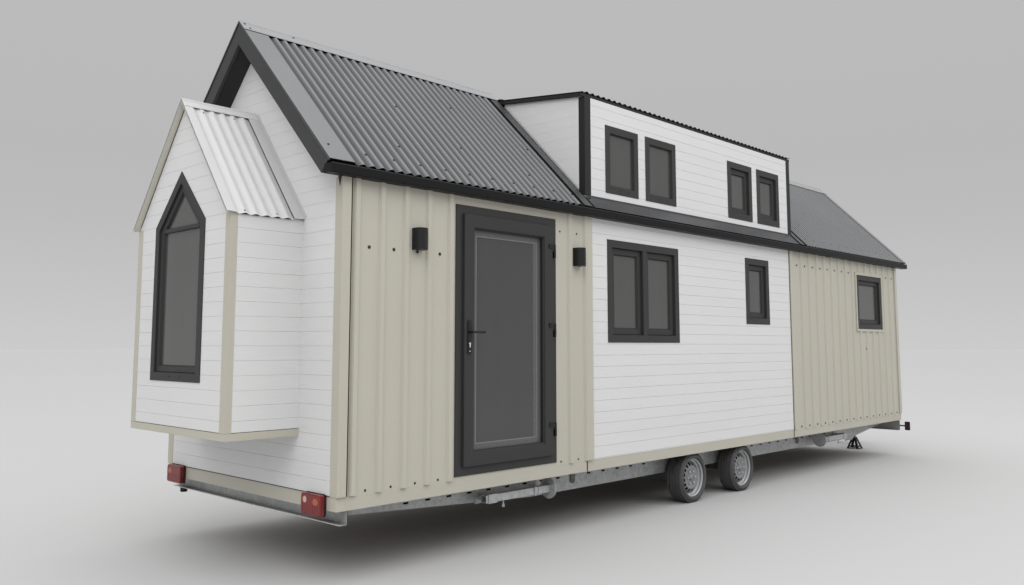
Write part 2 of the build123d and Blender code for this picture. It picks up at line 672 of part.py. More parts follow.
wall_frames = []
wall_panes = []
for x0, x1, z0, z1, lights in SIDE_WINDOWS:
    wall_frames.append(window_frame(x0, x1, z0, z1, lights, 0))
    wall_panes += window_panes(x0, x1, z0, z1, lights, 0)
keep("side_window_frames", *both_sides(*wall_frames))
keep("side_window_glass", *both_sides(*wall_panes))

dormer_frames = []
dormer_panes = []
for x0, x1 in DORMER_WINDOWS:
    dormer_frames.append(window_frame(x0, x1, DORMER_SILL, DORMER_HEAD, 1, DORMER_SETBACK))
    dormer_panes += window_panes(x0, x1, DORMER_SILL, DORMER_HEAD, 1, DORMER_SETBACK)
keep("dormer_window_frames", *both_sides(*dormer_frames))
keep("dormer_window_glass", *both_sides(*dormer_panes))

# ---- entrance door ----------------------------------------------------------
frame_block = block(DOOR_LEFT, DOOR_RIGHT, -FRAME_PROUD, -FRAME_PROUD + FRAME_DEPTH, FLOOR, DOOR_HEAD)
clear_left = DOOR_LEFT + JAMB
clear_right = DOOR_RIGHT - JAMB
clear_bottom = FLOOR + JAMB
clear_top = DOOR_HEAD - JAMB
passage = block(clear_left, clear_right, -FRAME_PROUD - 1, FRAME_DEPTH, clear_bottom, clear_top)
keep("door_frame", frame_block - passage)

leaf_left = DOOR_LEFT + LEAF_REVEAL
leaf_right = DOOR_RIGHT - LEAF_REVEAL
leaf_bottom = FLOOR + LEAF_REVEAL
leaf_top = DOOR_HEAD - LEAF_REVEAL
lip = block(leaf_left, leaf_right, -LEAF_PROUD, -LEAF_PROUD + LEAF_LIP, leaf_bottom, leaf_top)
core = block(clear_left + LEAF_GAP, clear_right - LEAF_GAP, -LEAF_PROUD + LEAF_LIP, LEAF_INNER,
             clear_bottom + LEAF_GAP, clear_top - LEAF_GAP)
light = block(leaf_left + STILE, leaf_right - STILE, -LEAF_PROUD - 1, LEAF_INNER + 1,
              leaf_bottom + STILE, leaf_top - STILE)
handle_x = leaf_left + HANDLE_INSET
spindle_hole = rod_y(handle_x, HANDLE_LEVEL, SPINDLE_RADIUS + SPINDLE_CLEARANCE,
                     -2 * LEAF_PROUD, 2 * LEAF_INNER)
keep("door_leaf", lip + core - light - spindle_hole)
pane_front = -LEAF_PROUD + PANE_BACK
keep("door_glass", block(leaf_left + STILE, leaf_right - STILE, pane_front, pane_front + 3 * PANE,
                         leaf_bottom + STILE, leaf_top - STILE))

hinge_x = leaf_right + HINGE_OFFSET
hinge_y = -HINGE_OUT
barrels = []
flaps = []
for level in HINGE_LEVELS:
    half = HINGE_HEIGHT / 2
    barrel = Pos(hinge_x, hinge_y, level - half / 2) * Cylinder(HINGE_RADIUS, half)
    arm = block(hinge_x + 2, hinge_x + HINGE_RADIUS + 6, hinge_y, -FRAME_PROUD, level - half, level)
    barrels.append(barrel + arm)
    knuckle_middle = Pos(hinge_x, hinge_y, level + (half + HINGE_PLAY) / 2)
    knuckle = knuckle_middle * Cylinder(HINGE_RADIUS, half - HINGE_PLAY)
    flap = block(leaf_right - HINGE_ARM, hinge_x, hinge_y - 2, -LEAF_PROUD, level + half - HINGE_ARM_HEIGHT,
                 level + half)
    flaps.append(knuckle + flap)
keep("door_hinge_barrels", *barrels)
keep("door_hinge_flaps", *flaps)

plate_foot = HANDLE_LEVEL - PLATE_HEIGHT * PLATE_DROP
plate_head = plate_foot + PLATE_HEIGHT
outer_plate = block(handle_x - PLATE_WIDTH / 2, handle_x + PLATE_WIDTH / 2, -LEAF_PROUD - PLATE_THICKNESS,
                    -LEAF_PROUD, plate_foot, plate_head)
inner_plate = block(handle_x + INNER_PLATE_CUT - PLATE_WIDTH / 2, handle_x + PLATE_WIDTH / 2, LEAF_INNER,
                    LEAF_INNER + PLATE_THICKNESS, plate_foot, plate_head)
keep("door_handle_plates", outer_plate - spindle_hole, inner_plate - spindle_hole)

outer_y = -LEAF_PROUD - PLATE_THICKNESS - LEVER_STANDOFF
inner_lever_y = LEAF_INNER + PLATE_THICKNESS + LEVER_STANDOFF
spindle = rod_y(handle_x, HANDLE_LEVEL, SPINDLE_RADIUS, outer_y, inner_lever_y)
neck_out = rod_y(handle_x, HANDLE_LEVEL, LEVER_RADIUS, outer_y,
                 -LEAF_PROUD - PLATE_THICKNESS - NECK_CLEARANCE)
neck_in = rod_y(handle_x, HANDLE_LEVEL, LEVER_RADIUS,
                LEAF_INNER + PLATE_THICKNESS + NECK_CLEARANCE, inner_lever_y)
grips = [rod_x(y, HANDLE_LEVEL, LEVER_RADIUS, handle_x - LEVER_RADIUS, handle_x + LEVER_LENGTH)
         for y in (outer_y, inner_lever_y)]
keep("door_handle", spindle + neck_out + neck_in + grips[0] + grips[1])

# ---- wall lamps -------------------------------------------------------------
lamps = []
for x in LAMP_X:
    shade = Pos(x, -LAMP_DEPTH / 2, LAMP_LEVEL) * Cylinder(LAMP_WIDTH / 2, LAMP_HEIGHT)
    back = block(x - LAMP_WIDTH / 2, x + LAMP_WIDTH / 2, -LAMP_DEPTH / 2, 0,
                 LAMP_LEVEL - LAMP_HEIGHT / 2, LAMP_LEVEL + LAMP_HEIGHT / 2)
    lamps.append(shade & block(x - LAMP_WIDTH, x + LAMP_WIDTH, -LAMP_DEPTH - LAMP_WIDTH, 0, 0, RIDGE_HEIGHT))
    lamps[-1] = lamps[-1] + back
keep("wall_lamps", *lamps)

# ---- trailer chassis --------------------------------------------------------
rail_outline = [
    (RAIL_REAR_X, RAIL_REAR_BOTTOM),
    (RAIL_REAR_X, DECK_UNDERSIDE),
    (RAIL_FRONT_X, DECK_UNDERSIDE),
    (RAIL_FRONT_X, RAIL_FRONT_BOTTOM),
    (RAIL_TAPER_FRONT_X, RAIL_BOTTOM),
    (RAIL_TAPER_REAR_X, RAIL_BOTTOM),
]
rail_in = RAIL_SETBACK + RAIL_FLANGE
rail_hollow = along_y(
    [(RAIL_REAR_X - 1, RAIL_REAR_BOTTOM + RAIL_PLATE), (RAIL_REAR_X - 1, DECK_UNDERSIDE - RAIL_PLATE),
     (RAIL_FRONT_X + 1, DECK_UNDERSIDE - RAIL_PLATE), (RAIL_FRONT_X + 1, RAIL_FRONT_BOTTOM + RAIL_PLATE),
     (RAIL_TAPER_FRONT_X, RAIL_BOTTOM + RAIL_PLATE), (RAIL_TAPER_REAR_X, RAIL_BOTTOM + RAIL_PLATE)],
    RAIL_SETBACK + RAIL_PLATE, rail_in + 1)
rail = along_y(rail_outline, RAIL_SETBACK, rail_in) - rail_hollow
keep("chassis_rails", *both_sides(rail))

cross_top = DECK_UNDERSIDE - RAIL_PLATE
cross_in = RAIL_SETBACK + RAIL_PLATE
cross_members = []
cross_start = RAIL_REAR_X + CROSS_START
cross_pitch = (RAIL_FRONT_X - CROSS_START - cross_start) / (CROSS_COUNT - 1)
for k in range(CROSS_COUNT):
    x = cross_start + k * cross_pitch
    web = block(x, x + CROSS_PLATE, cross_in, WIDTH - cross_in, cross_top - CROSS_HEIGHT, cross_top)
    foot = block(x, x + CROSS_FLANGE, cross_in, WIDTH - cross_in, cross_top - CROSS_HEIGHT,
                 cross_top - CROSS_HEIGHT + CROSS_PLATE)
    head = block(x, x + CROSS_FLANGE, cross_in, WIDTH - cross_in, cross_top - CROSS_PLATE, cross_top)
    cross_members.append(web + foot + head)
keep("cross_members", *cross_members)

rear_web = block(RAIL_REAR_X - BEAM_PLATE, RAIL_REAR_X, BEAM_END, WIDTH - BEAM_END,
                 REAR_BEAM_BOTTOM, DECK_UNDERSIDE)
rear_foot = block(RAIL_REAR_X - REAR_BEAM_FLANGE, RAIL_REAR_X, BEAM_END, WIDTH - BEAM_END,
                  REAR_BEAM_BOTTOM, REAR_BEAM_BOTTOM + BEAM_PLATE)
front_web = block(FRONT_BEAM_X - BEAM_PLATE, FRONT_BEAM_X, BEAM_END, WIDTH - BEAM_END,
                  FRONT_BEAM_BOTTOM, DECK_UNDERSIDE)
front_foot = block(RAIL_FRONT_X, FRONT_BEAM_X, BEAM_END, WIDTH - BEAM_END,
                   FRONT_BEAM_BOTTOM, FRONT_BEAM_BOTTOM + BEAM_PLATE)
front_head = block(RAIL_FRONT_X, FRONT_BEAM_X, BEAM_END, WIDTH - BEAM_END,
                   DECK_UNDERSIDE - BEAM_PLATE, DECK_UNDERSIDE)
keep("end_beams", rear_web + rear_foot, front_web + front_foot + front_head)

# ---- axles ------------------------------------------------------------------
spindle_end = TYRE_SETBACK + SPINDLE_INSET
axle_beams = []
for x in AXLES:
    tube = block(x - AXLE_TUBE / 2, x + AXLE_TUBE / 2, RAIL_SETBACK, WIDTH - RAIL_SETBACK,
                 TYRE_RADIUS - AXLE_TUBE / 2, TYRE_RADIUS + AXLE_TUBE / 2)
    pads = [block(x - AXLE_PAD_HALF, x + AXLE_PAD_HALF, y, y + RAIL_FLANGE,
                  TYRE_RADIUS + AXLE_TUBE / 2, RAIL_BOTTOM)
            for y in (RAIL_SETBACK, WIDTH - rail_in)]
    stubs = rod_y(x, TYRE_RADIUS, SPINDLE, spindle_end, WIDTH - spindle_end)
    axle_beams.append(tube + pads[0] + pads[1] + stubs)
keep("axle_beams", *axle_beams)


# ---- wheels -----------------------------------------------------------------
def revolved(profile, x):
    """A body of revolution about the wheel's axis, from (radius, y) points."""
    face = make_face(Polyline(*[(x + r, y, TYRE_RADIUS) for r, y in profile], close=True))
    return revolve(face, axis=Axis((x, 0, TYRE_RADIUS), (0, 1, 0)), revolution_arc=360)


def tyre(x):
    a = TYRE_SETBACK
    b = TYRE_SETBACK + TYRE_WIDTH
    return revolved([
        (RIM_RADIUS, a + BEAD_SETBACK),
        (RIM_RADIUS + TYRE_WALL, a),
        (TYRE_RADIUS - TYRE_SHOULDER, a + TYRE_CROWN),
        (TYRE_RADIUS - TYRE_CROWN, a + TYRE_SHOULDER),
        (TYRE_RADIUS, a + 2 * TYRE_SHOULDER),
        (TYRE_RADIUS, b - 2 * TYRE_SHOULDER),
        (TYRE_RADIUS - TYRE_CROWN, b - TYRE_SHOULDER),
        (TYRE_RADIUS - TYRE_SHOULDER, b - TYRE_CROWN),
        (RIM_RADIUS + TYRE_WALL, b),
        (RIM_RADIUS, b - BEAD_SETBACK),
    ], x)


def rim(x):
    """A pressed steel wheel: barrel, dished disc with vents, hub and cap."""
    a = TYRE_SETBACK + BEAD_SETBACK
    b = TYRE_SETBACK + TYRE_WIDTH - BEAD_SETBACK
    bore = RIM_RADIUS - RIM_WALL
    flat_y = a + DISC_SETBACK
    dish_y = flat_y - DISC_DISH
    edge_y = flat_y + 2 * CAP_FLANGE
    barrel = revolved([(RIM_RADIUS, a), (RIM_RADIUS, b), (bore, b), (bore, a)], x)
    disc = revolved([
        (HUB_BORE, flat_y),
        (DISC_FLAT_RADIUS, flat_y),
        (DISH_INNER_RADIUS, dish_y),
        (DISH_OUTER_RADIUS, dish_y),
        (bore, edge_y),
        (bore, edge_y + DISC_THICKNESS),
        (DISH_OUTER_RADIUS - 2, dish_y + DISC_THICKNESS),
        (DISH_INNER_RADIUS + 2, dish_y + DISC_THICKNESS),
        (DISC_FLAT_RADIUS + 1, flat_y + DISC_THICKNESS),
        (HUB_BORE, flat_y + DISC_THICKNESS),
    ], x)
    hub_end = b - BEAD_SETBACK
    hub = revolved([(HUB_BORE, flat_y), (HUB_BORE, hub_end), (HUB_RADIUS, hub_end), (HUB_RADIUS, flat_y)], x)
    cap_y = flat_y - CAP_HEIGHT
    cap = revolved([(0, cap_y), (CAP_TOP_RADIUS, cap_y), (HUB_BORE, cap_y + CAP_ROUND),
                    (CAP_RADIUS, flat_y), (0, flat_y)], x)
    wheel = barrel + disc + hub + cap
    for k in range(VENT_COUNT):
        turn = math.radians(360 / VENT_COUNT * k)
        vent_x = x + VENT_CIRCLE * math.cos(turn)
        vent_z = TYRE_RADIUS + VENT_CIRCLE * math.sin(turn)
        wheel = wheel - rod_y(vent_x, vent_z, VENT_RADIUS, a, b)
    return wheel


corners = {"rear": AXLES[0], "front": AXLES[1]}
for place, x in corners.items():
    near_tyre = tyre(x)
    near_rim = rim(x)
    keep("tyre_near_" + place, near_tyre)
    keep("rim_near_" + place, near_rim)
    keep("tyre_far_" + place, opposite(near_tyre))
    keep("rim_far_" + place, opposite(near_rim))

# ---- drawbar and coupling ---------------------------------------------------
run = DRAWBAR_NOSE_X - DRAWBAR_ROOT_X
drift = CENTRE_Y - DRAWBAR_NOSE_GAP - rail_in
skew = math.atan2(drift, run)
offset = DRAWBAR_WIDTH / math.sin(skew)
arm_outline = [
    (DRAWBAR_ROOT_X, rail_in),
    (DRAWBAR_ROOT_X + offset, rail_in),
    (DRAWBAR_NOSE_X, rail_in + drift - offset * math.tan(skew)),
    (DRAWBAR_NOSE_X, rail_in + drift),
]
arm = along_z(arm_outline, DRAWBAR_TOP - DRAWBAR_HEIGHT, DRAWBAR_TOP)
nose = block(DRAWBAR_NOSE_X - NOSE_LENGTH, DRAWBAR_NOSE_X, CENTRE_Y - NOSE_HALF_WIDTH,
             CENTRE_Y + NOSE_HALF_WIDTH, DRAWBAR_TOP, DRAWBAR_TOP + NOSE_PLATE)
keep("drawbar", arm + opposite(arm) + nose)

coupling_z = DRAWBAR_TOP + NOSE_PLATE + COUPLING_RADIUS
ball_x = DRAWBAR_NOSE_X + COUPLING_REACH
tube = rod_x(CENTRE_Y, coupling_z, COUPLING_RADIUS, ball_x - COUPLING_LENGTH, ball_x)
head_height = 2 * COUPLING_RADIUS - HEAD_CUT
head = Pos(ball_x, CENTRE_Y, coupling_z) * Cylinder(BALL_RADIUS + HEAD_WALL, head_height)
socket = Pos(ball_x, CENTRE_Y, coupling_z - head_height / 2) * Cylinder(BALL_RADIUS, head_height)
keep("coupling_head", tube + head - socket)

# ---- front stands -----------------------------------------------------------
stand_y = rail_in + (FRONT_STAND_X - DRAWBAR_ROOT_X - offset / 2) * math.tan(skew)
post = block(FRONT_STAND_X - STAND_POST / 2, FRONT_STAND_X + STAND_POST / 2,
             stand_y - STAND_POST / 2, stand_y + STAND_POST / 2,
             STAND_BASE_HEIGHT, DRAWBAR_TOP - DRAWBAR_HEIGHT)
base = loft(Sketch() + [
    Pos(FRONT_STAND_X, stand_y, 0) * Rectangle(STAND_FOOT, STAND_FOOT),
    Pos(FRONT_STAND_X, stand_y, STAND_BASE_HEIGHT) * Rectangle(STAND_CAP, STAND_CAP)])
keep("front_stands", *both_sides(base + post))

# ---- prop stands ------------------------------------------------------------
clamps = []
prop_shapes = []
for pivot_x, foot_x in PROP_SPANS:
    way = 1 if foot_x > pivot_x else -1
    low, high = sorted((pivot_x - way * PROP_TAIL, foot_x))
    half = PROP_TUBE / 2
    outer = half + SLEEVE_WALL
    inner = half - PROP_WALL
    sleeve = block(pivot_x - SLEEVE_HALF, pivot_x + SLEEVE_HALF, PROP_SETBACK - outer, PROP_SETBACK + outer,
                   PROP_LEVEL - outer, PROP_LEVEL + outer)
    shaft = block(low, high, PROP_SETBACK - half, PROP_SETBACK + half, PROP_LEVEL - half, PROP_LEVEL + half)
    bore = block(low - 1, high + 1, PROP_SETBACK - inner, PROP_SETBACK + inner,
                 PROP_LEVEL - inner, PROP_LEVEL + inner)
    pad_low, pad_high = sorted((foot_x, foot_x + way * PROP_PAD))
    pad = rod_x(PROP_SETBACK, PROP_LEVEL, PROP_PAD_RADIUS, pad_low, pad_high)
    prop_shapes.append(sleeve + shaft - bore + pad)
    boss = rod_y(pivot_x, PROP_LEVEL, BOSS_RADIUS, PROP_SETBACK + outer + CLAMP_CLEARANCE, RAIL_SETBACK)
    plate = block(pivot_x - CLAMP_HALF, pivot_x + CLAMP_HALF, RAIL_SETBACK - CLAMP_PLATE, RAIL_SETBACK,
                  PROP_LEVEL - CLAMP_BELOW, PROP_LEVEL + CLAMP_ABOVE)
    clamps.append(boss + plate)
keep("prop_stand_clamps", *both_sides(*clamps))
for place, shape in zip(("rear", "front"), prop_shapes):
    keep("prop_stand_near_" + place, shape)
    keep("prop_stand_far_" + place, opposite(shape))

# ---- trailer lamps ----------------------------------------------------------
tail_far_y = WIDTH - TAIL_INSET
tail_spans = [(TAIL_NEAR_INSET, TAIL_NEAR_INSET + TAIL_NEAR_WIDTH), (tail_far_y - TAIL_WIDTH, tail_far_y)]
tails = [block(-TAIL_DEPTH - TRIM, -TRIM, y0, y1, TAIL_BOTTOM, TAIL_BOTTOM + TAIL_HEIGHT)
         for y0, y1 in tail_spans]
marker_x = FRONT_BEAM_X - MARKER_THICKNESS
marker = block(marker_x, marker_x + MARKER_THICKNESS, -MARKER_OUT, -MARKER_IN,
               MARKER_BOTTOM, MARKER_BOTTOM + MARKER_HEIGHT)
stalk = rod_y(marker_x + MARKER_THICKNESS / 2, MARKER_BOTTOM + MARKER_HEIGHT / 2, MARKER_STALK,
              -MARKER_IN, BEAM_END)
keep("trailer_lamps", *tails, *both_sides(marker + stalk))

# ---- origin on the ground under the middle ----------------------------------
box = Compound(list(parts.values())).bounding_box()
shift = Vector(-(box.min.X + box.max.X) / 2, -(box.min.Y + box.max.Y) / 2, 0)
os.makedirs("parts", exist_ok=True)
for name, shape in parts.items():
    export_step(shape.moved(Location(shift)), "parts/" + name + ".step")
print("nodes", len(parts), "shift", shift, "box", box.min, box.max)
print("hinge", hinge_x + shift.X, hinge_y + shift.Y, "handle", handle_x + shift.X, HANDLE_LEVEL)
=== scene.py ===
import bpy
import bmesh
import math
from mathutils import Matrix, Vector


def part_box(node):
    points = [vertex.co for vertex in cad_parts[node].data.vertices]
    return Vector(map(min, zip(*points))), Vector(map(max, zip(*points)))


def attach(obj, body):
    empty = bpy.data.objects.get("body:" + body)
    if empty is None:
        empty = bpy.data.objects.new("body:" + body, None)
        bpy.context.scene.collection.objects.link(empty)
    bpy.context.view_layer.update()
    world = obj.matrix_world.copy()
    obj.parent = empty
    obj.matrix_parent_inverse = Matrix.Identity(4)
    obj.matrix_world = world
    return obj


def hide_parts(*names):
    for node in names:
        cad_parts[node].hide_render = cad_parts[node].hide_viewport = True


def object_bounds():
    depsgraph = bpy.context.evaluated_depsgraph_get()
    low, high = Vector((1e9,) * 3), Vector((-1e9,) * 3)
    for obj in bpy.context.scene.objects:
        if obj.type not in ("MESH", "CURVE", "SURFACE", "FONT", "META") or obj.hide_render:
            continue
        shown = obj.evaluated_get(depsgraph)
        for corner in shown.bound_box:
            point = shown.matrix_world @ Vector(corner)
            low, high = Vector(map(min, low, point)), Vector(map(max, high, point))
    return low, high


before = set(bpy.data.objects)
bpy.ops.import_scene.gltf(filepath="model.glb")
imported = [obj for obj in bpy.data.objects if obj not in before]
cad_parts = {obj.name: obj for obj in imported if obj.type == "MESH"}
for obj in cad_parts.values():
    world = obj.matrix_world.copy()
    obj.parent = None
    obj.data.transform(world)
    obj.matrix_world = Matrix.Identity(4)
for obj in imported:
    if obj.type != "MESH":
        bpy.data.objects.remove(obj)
cad_low, cad_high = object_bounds()

# ---- the studio -------------------------------------------------------------
# A pale seamless floor and backdrop, even light from all round and two weak
# soft lamps.  The camera stands low off the rear corner on the door side.


def into_scene(name, data):
    """A new object in the scene, at the origin."""
    thing = bpy.data.objects.new(name, data)
    bpy.context.scene.collection.objects.link(thing)
    return thing


eye = bpy.data.cameras.new("eye")
eye.sensor_width = 36
eye.lens = 30.60
eye.shift_y = -0.0363
eye.clip_end = 900
camera = into_scene("eye", eye)
camera.location = (-8.4226, -5.9419, 1.5381)
camera.rotation_euler = (math.radians(95.892), 0, math.radians(-46.044))
bpy.context.scene.camera = camera
bpy.context.scene.view_settings.view_transform = "Standard"


def tone(red, green, blue):
    """A colour as the eye reads it, 0 to 255, turned into the light it gives back."""
    levels = []
    for value in (red, green, blue):
        share = value / 255
        levels.append(share / 12.92 if share <= 0.04045 else ((share + 0.055) / 1.055) ** 2.4)
    return (*levels, 1)


def step(tree, kind, feeds=(), **settings):
    """One node, with its settings, its fixed values and the sockets that feed it."""
    made = tree.nodes.new(kind)
    for key, value in settings.items():
        setattr(made, key, value)
    for name, feed in dict(feeds).items():
        if isinstance(feed, bpy.types.NodeSocket):
            tree.links.new(feed, made.inputs[name])
        else:
            made.inputs[name].default_value = feed
    return made


BACKDROP = ((0.0, 203), (0.051, 197), (0.10, 192), (0.131, 188.5), (0.20, 185), (0.36, 187))
SKY_AT_FLOOR = 0.40
SKY_OVERHEAD = 2.10
world = bpy.data.worlds.new("studio")
world.use_nodes = True
bpy.context.scene.world = world
air = world.node_tree
air.nodes.clear()
direction = step(air, "ShaderNodeTexCoord")
parts = step(air, "ShaderNodeSeparateXYZ", {0: direction.outputs["Generated"]})
shade = step(air, "ShaderNodeValToRGB", {0: parts.outputs["Z"]})
for k, (level, grey) in enumerate(BACKDROP):
    stop = shade.color_ramp.elements[k] if k < 2 else shade.color_ramp.elements.new(level)
    stop.position = level
    stop.color = tone(grey, grey, grey)
seen = step(air, "ShaderNodeBackground", {0: shade.outputs[0], 1: 1.0})
dome = step(air, "ShaderNodeMapRange", {0: parts.outputs["Z"], 1: 0.0, 2: 1.0, 3: SKY_AT_FLOOR,
                                        4: SKY_OVERHEAD})
given = step(air, "ShaderNodeBackground", {0: (1, 1, 1, 1), 1: dome.outputs[0]})
ray = step(air, "ShaderNodeLightPath")
eye_or_gloss = step(air, "ShaderNodeMath", {0: ray.outputs["Is Camera Ray"], 1: ray.outputs["Is Glossy Ray"]},
                    operation="MAXIMUM")
shown = step(air, "ShaderNodeMath", {0: eye_or_gloss.outputs[0], 1: ray.outputs["Is Transmission Ray"]},
             operation="MAXIMUM")
both = step(air, "ShaderNodeMixShader", {0: shown.outputs[0], 1: given.outputs[0], 2: seen.outputs[0]})
step(air, "ShaderNodeOutputWorld", {0: both.outputs[0]})


LAMP_SIZE = 9


def soft_lamp(name, place, aim, power):
    """A square area lamp turned to its aim."""
    light = bpy.data.lights.new(name, "AREA")
    light.shape = "SQUARE"
    light.size = LAMP_SIZE
    light.energy = power
    lamp = into_scene(name, light)
    lamp.location = place
    lamp.rotation_euler = (Vector(aim) - Vector(place)).to_track_quat("-Z", "Y").to_euler()


soft_lamp("lamp_rear", (-12, -8, 11.5), (-1, 0, 1.5), 540)
soft_lamp("lamp_door_side", (5, -12.5, 11), (0, 0, 1.5), 320)


FLOOR_COLOUR = tone(173, 173, 173)
FLOOR_FAR = tone(171, 171, 171)
FLOOR_RADIUS = 400
FLOOR_SIDES = 64
floor_paint = bpy.data.materials.new("studio_floor")
floor_paint.use_nodes = True
mix = floor_paint.node_tree
mix.nodes.clear()
where = step(mix, "ShaderNodeTexCoord")
away = step(mix, "ShaderNodeVectorMath", {0: where.outputs["Object"]}, operation="LENGTH")
far_off = step(mix, "ShaderNodeMapRange", {0: away.outputs["Value"], 1: 8.0, 2: 60.0})
fade = step(mix, "ShaderNodeMix", {0: far_off.outputs[0], 6: FLOOR_COLOUR, 7: FLOOR_FAR}, data_type="RGBA")
floor_face = step(mix, "ShaderNodeBsdfPrincipled", {"Base Color": fade.outputs[2], "Roughness": 0.9,
                                                    "Specular IOR Level": 0.1})
step(mix, "ShaderNodeOutputMaterial", {0: floor_face.outputs[0]})
floor_edge = [2 * math.pi * k / FLOOR_SIDES for k in range(FLOOR_SIDES)]
floor_mesh = bpy.data.meshes.new("studio_floor")
floor_mesh.from_pydata([(FLOOR_RADIUS * math.cos(turn), FLOOR_RADIUS * math.sin(turn), 0)
                        for turn in floor_edge], [], [range(FLOOR_SIDES)])
floor_mesh.update()
studio_floor = into_scene("studio_floor", floor_mesh)
studio_floor.data.materials.append(floor_paint)

# ---- trailer frame ----------------------------------------------------------
# Two folded rails, cross members, end beams, axle tubes and an A-shaped
# drawbar: rolled and folded steel, cut, drilled and hot-dip galvanised.


def finish(name, colour, rough=0.5, shade=0.05, size=2.0, stretch=(1, 1, 1), bump=0.15, fine=90.0,
           metal=0.0, rough_spread=0.08, depth=0.001, gloss=0.5):
    """A worked surface: broad differences of shade, a fine raised grain and a roughness that follows it."""
    made = bpy.data.materials.new(name)
    made.use_nodes = True
    tree = made.node_tree
    tree.nodes.clear()
    place = step(tree, "ShaderNodeTexCoord")
    spread = step(tree, "ShaderNodeMapping", {0: place.outputs["Object"], 3: stretch})
    broad = step(tree, "ShaderNodeTexNoise", {0: spread.outputs[0], "Scale": size, "Detail": 6.0})
    grain = step(tree, "ShaderNodeTexNoise", {0: spread.outputs[0], "Scale": fine, "Detail": 4.0})
    level = step(tree, "ShaderNodeMapRange", {0: broad.outputs[0], 1: 0.25, 2: 0.75, 3: 1 - shade, 4: 1 + shade})
    coloured = step(tree, "ShaderNodeMix", {0: 1.0, 6: colour, 7: level.outputs[0]}, data_type="RGBA",
                    blend_type="MULTIPLY")
    sheen = step(tree, "ShaderNodeMapRange", {0: grain.outputs[0], 1: 0.3, 2: 0.7, 3: rough - rough_spread,
                                              4: rough + rough_spread})
    raised = step(tree, "ShaderNodeBump", {"Strength": bump, "Distance": depth, "Height": grain.outputs[0]})
    face = step(tree, "ShaderNodeBsdfPrincipled", {
        "Base Color": coloured.outputs[2], "Roughness": sheen.outputs[0], "Metallic": metal,
        "Normal": raised.outputs[0], "Specular IOR Level": gloss})
    step(tree, "ShaderNodeOutputMaterial", {0: face.outputs[0]})
    return made


def tinted(made, pattern):
    """Multiplies a finish's own colour by a pattern."""
    tree = made.node_tree
    face = next(node for node in tree.nodes if node.type == "BSDF_PRINCIPLED")
    colour = face.inputs["Base Color"]
    both = step(tree, "ShaderNodeMix", {0: 1.0, 6: colour.links[0].from_socket, 7: pattern}, data_type="RGBA",
                blend_type="MULTIPLY")
    tree.links.new(both.outputs[2], colour)
    return made


def galvanise(name, colour, flake=34.0, shade=0.16):
    """Zinc that froze in flakes, each a slightly different grey."""
    made = finish(name, colour, rough=0.46, shade=0.10, size=3.0, bump=0.12, fine=60.0, metal=0.55)
    tree = made.node_tree
    place = step(tree, "ShaderNodeTexCoord")
    cells = step(tree, "ShaderNodeTexVoronoi", {0: place.outputs["Object"], "Scale": flake})
    grey = step(tree, "ShaderNodeSeparateColor", {0: cells.outputs["Color"]})
    level = step(tree, "ShaderNodeMapRange", {0: grey.outputs[0], 3: 1 - shade, 4: 1 + shade / 2})
    return tinted(made, level.outputs[0])


def dress(material, *nodes):
    """Gives plain CAD pieces their finish."""
    for node in nodes:
        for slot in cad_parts[node].material_slots:
            slot.material = material


zinc = galvanise("galvanised_steel", tone(166, 168, 169))
pale_zinc = galvanise("pale_zinc", tone(178, 180, 181))
# A darker copy of the zinc for the cross members, axle beams and rail brackets under the floor: painted shade.
dull_zinc = galvanise("dull_zinc", tone(96, 98, 99))
CORNERS = ("near_rear", "near_front", "far_rear", "far_front")
dress(zinc, "chassis_rails", "end_beams", "drawbar", "coupling_head", "prop_stand_clamps")
dress(pale_zinc, *("prop_stand_" + corner for corner in CORNERS))
dress(dull_zinc, "cross_members", "axle_beams")

# ---- tyres ------------------------------------------------------------------
# Four light-lorry tyres: moulded black rubber, a smooth side wall with a
# raised rim guard and five rows of tread blocks round the crown.
rubber = finish("tyre_rubber", tone(76, 76, 76), rough=0.72, shade=0.12, size=9.0, bump=0.3, fine=160.0,
                gloss=0.35)
TREAD = 0.010
TREAD_GAP = 0.011
CROSS_GAP = 0.0035
BLOCKS_ROUND = 60
TREAD_ROWS = 5
BEAD = 0.184
ROUND = 96
SOFT_ANGLE = math.radians(35)


def put(name, mesh, materials, body, stands_for=()):
    """Sets a finished mesh in the scene as a piece that moves with its body."""
    piece = into_scene(name, mesh)
    for material in materials:
        mesh.materials.append(material)
    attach(piece, body)
    if stands_for:
        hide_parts(*stands_for)
    return piece


def settle(bm, name):
    """Turns worked geometry into a mesh: doubles merged, faces outwards, soft where it is round."""
    bmesh.ops.remove_doubles(bm, verts=bm.verts, dist=1e-6)
    bmesh.ops.recalc_face_normals(bm, faces=bm.faces)
    mesh = bpy.data.meshes.new(name)
    bm.to_mesh(mesh)
    bm.free()
    mesh.shade_smooth()
    mesh.set_sharp_from_angle(angle=SOFT_ANGLE)
    return mesh


def turned(bm, profile, centre, segments, material=0):
    """A closed (radius, y) profile turned about the wheel's axle."""
    rings = []
    for k in range(segments):
        turn = 2 * math.pi * k / segments
        rings.append([bm.verts.new((centre.x + r * math.cos(turn), centre.y + y, centre.z + r * math.sin(turn)))
                      for r, y in profile])
    count = len(profile)
    for k in range(segments):
        here, after = rings[k], rings[(k + 1) % segments]
        for j in range(count):
            face = bm.faces.new((here[j], here[(j + 1) % count], after[(j + 1) % count], after[j]))
            face.material_index = material


def maths(tree, operation, *terms):
    """One sum worked out in a tree; its terms are values or sockets."""
    return step(tree, "ShaderNodeMath", dict(enumerate(terms)), operation=operation).outputs[0]


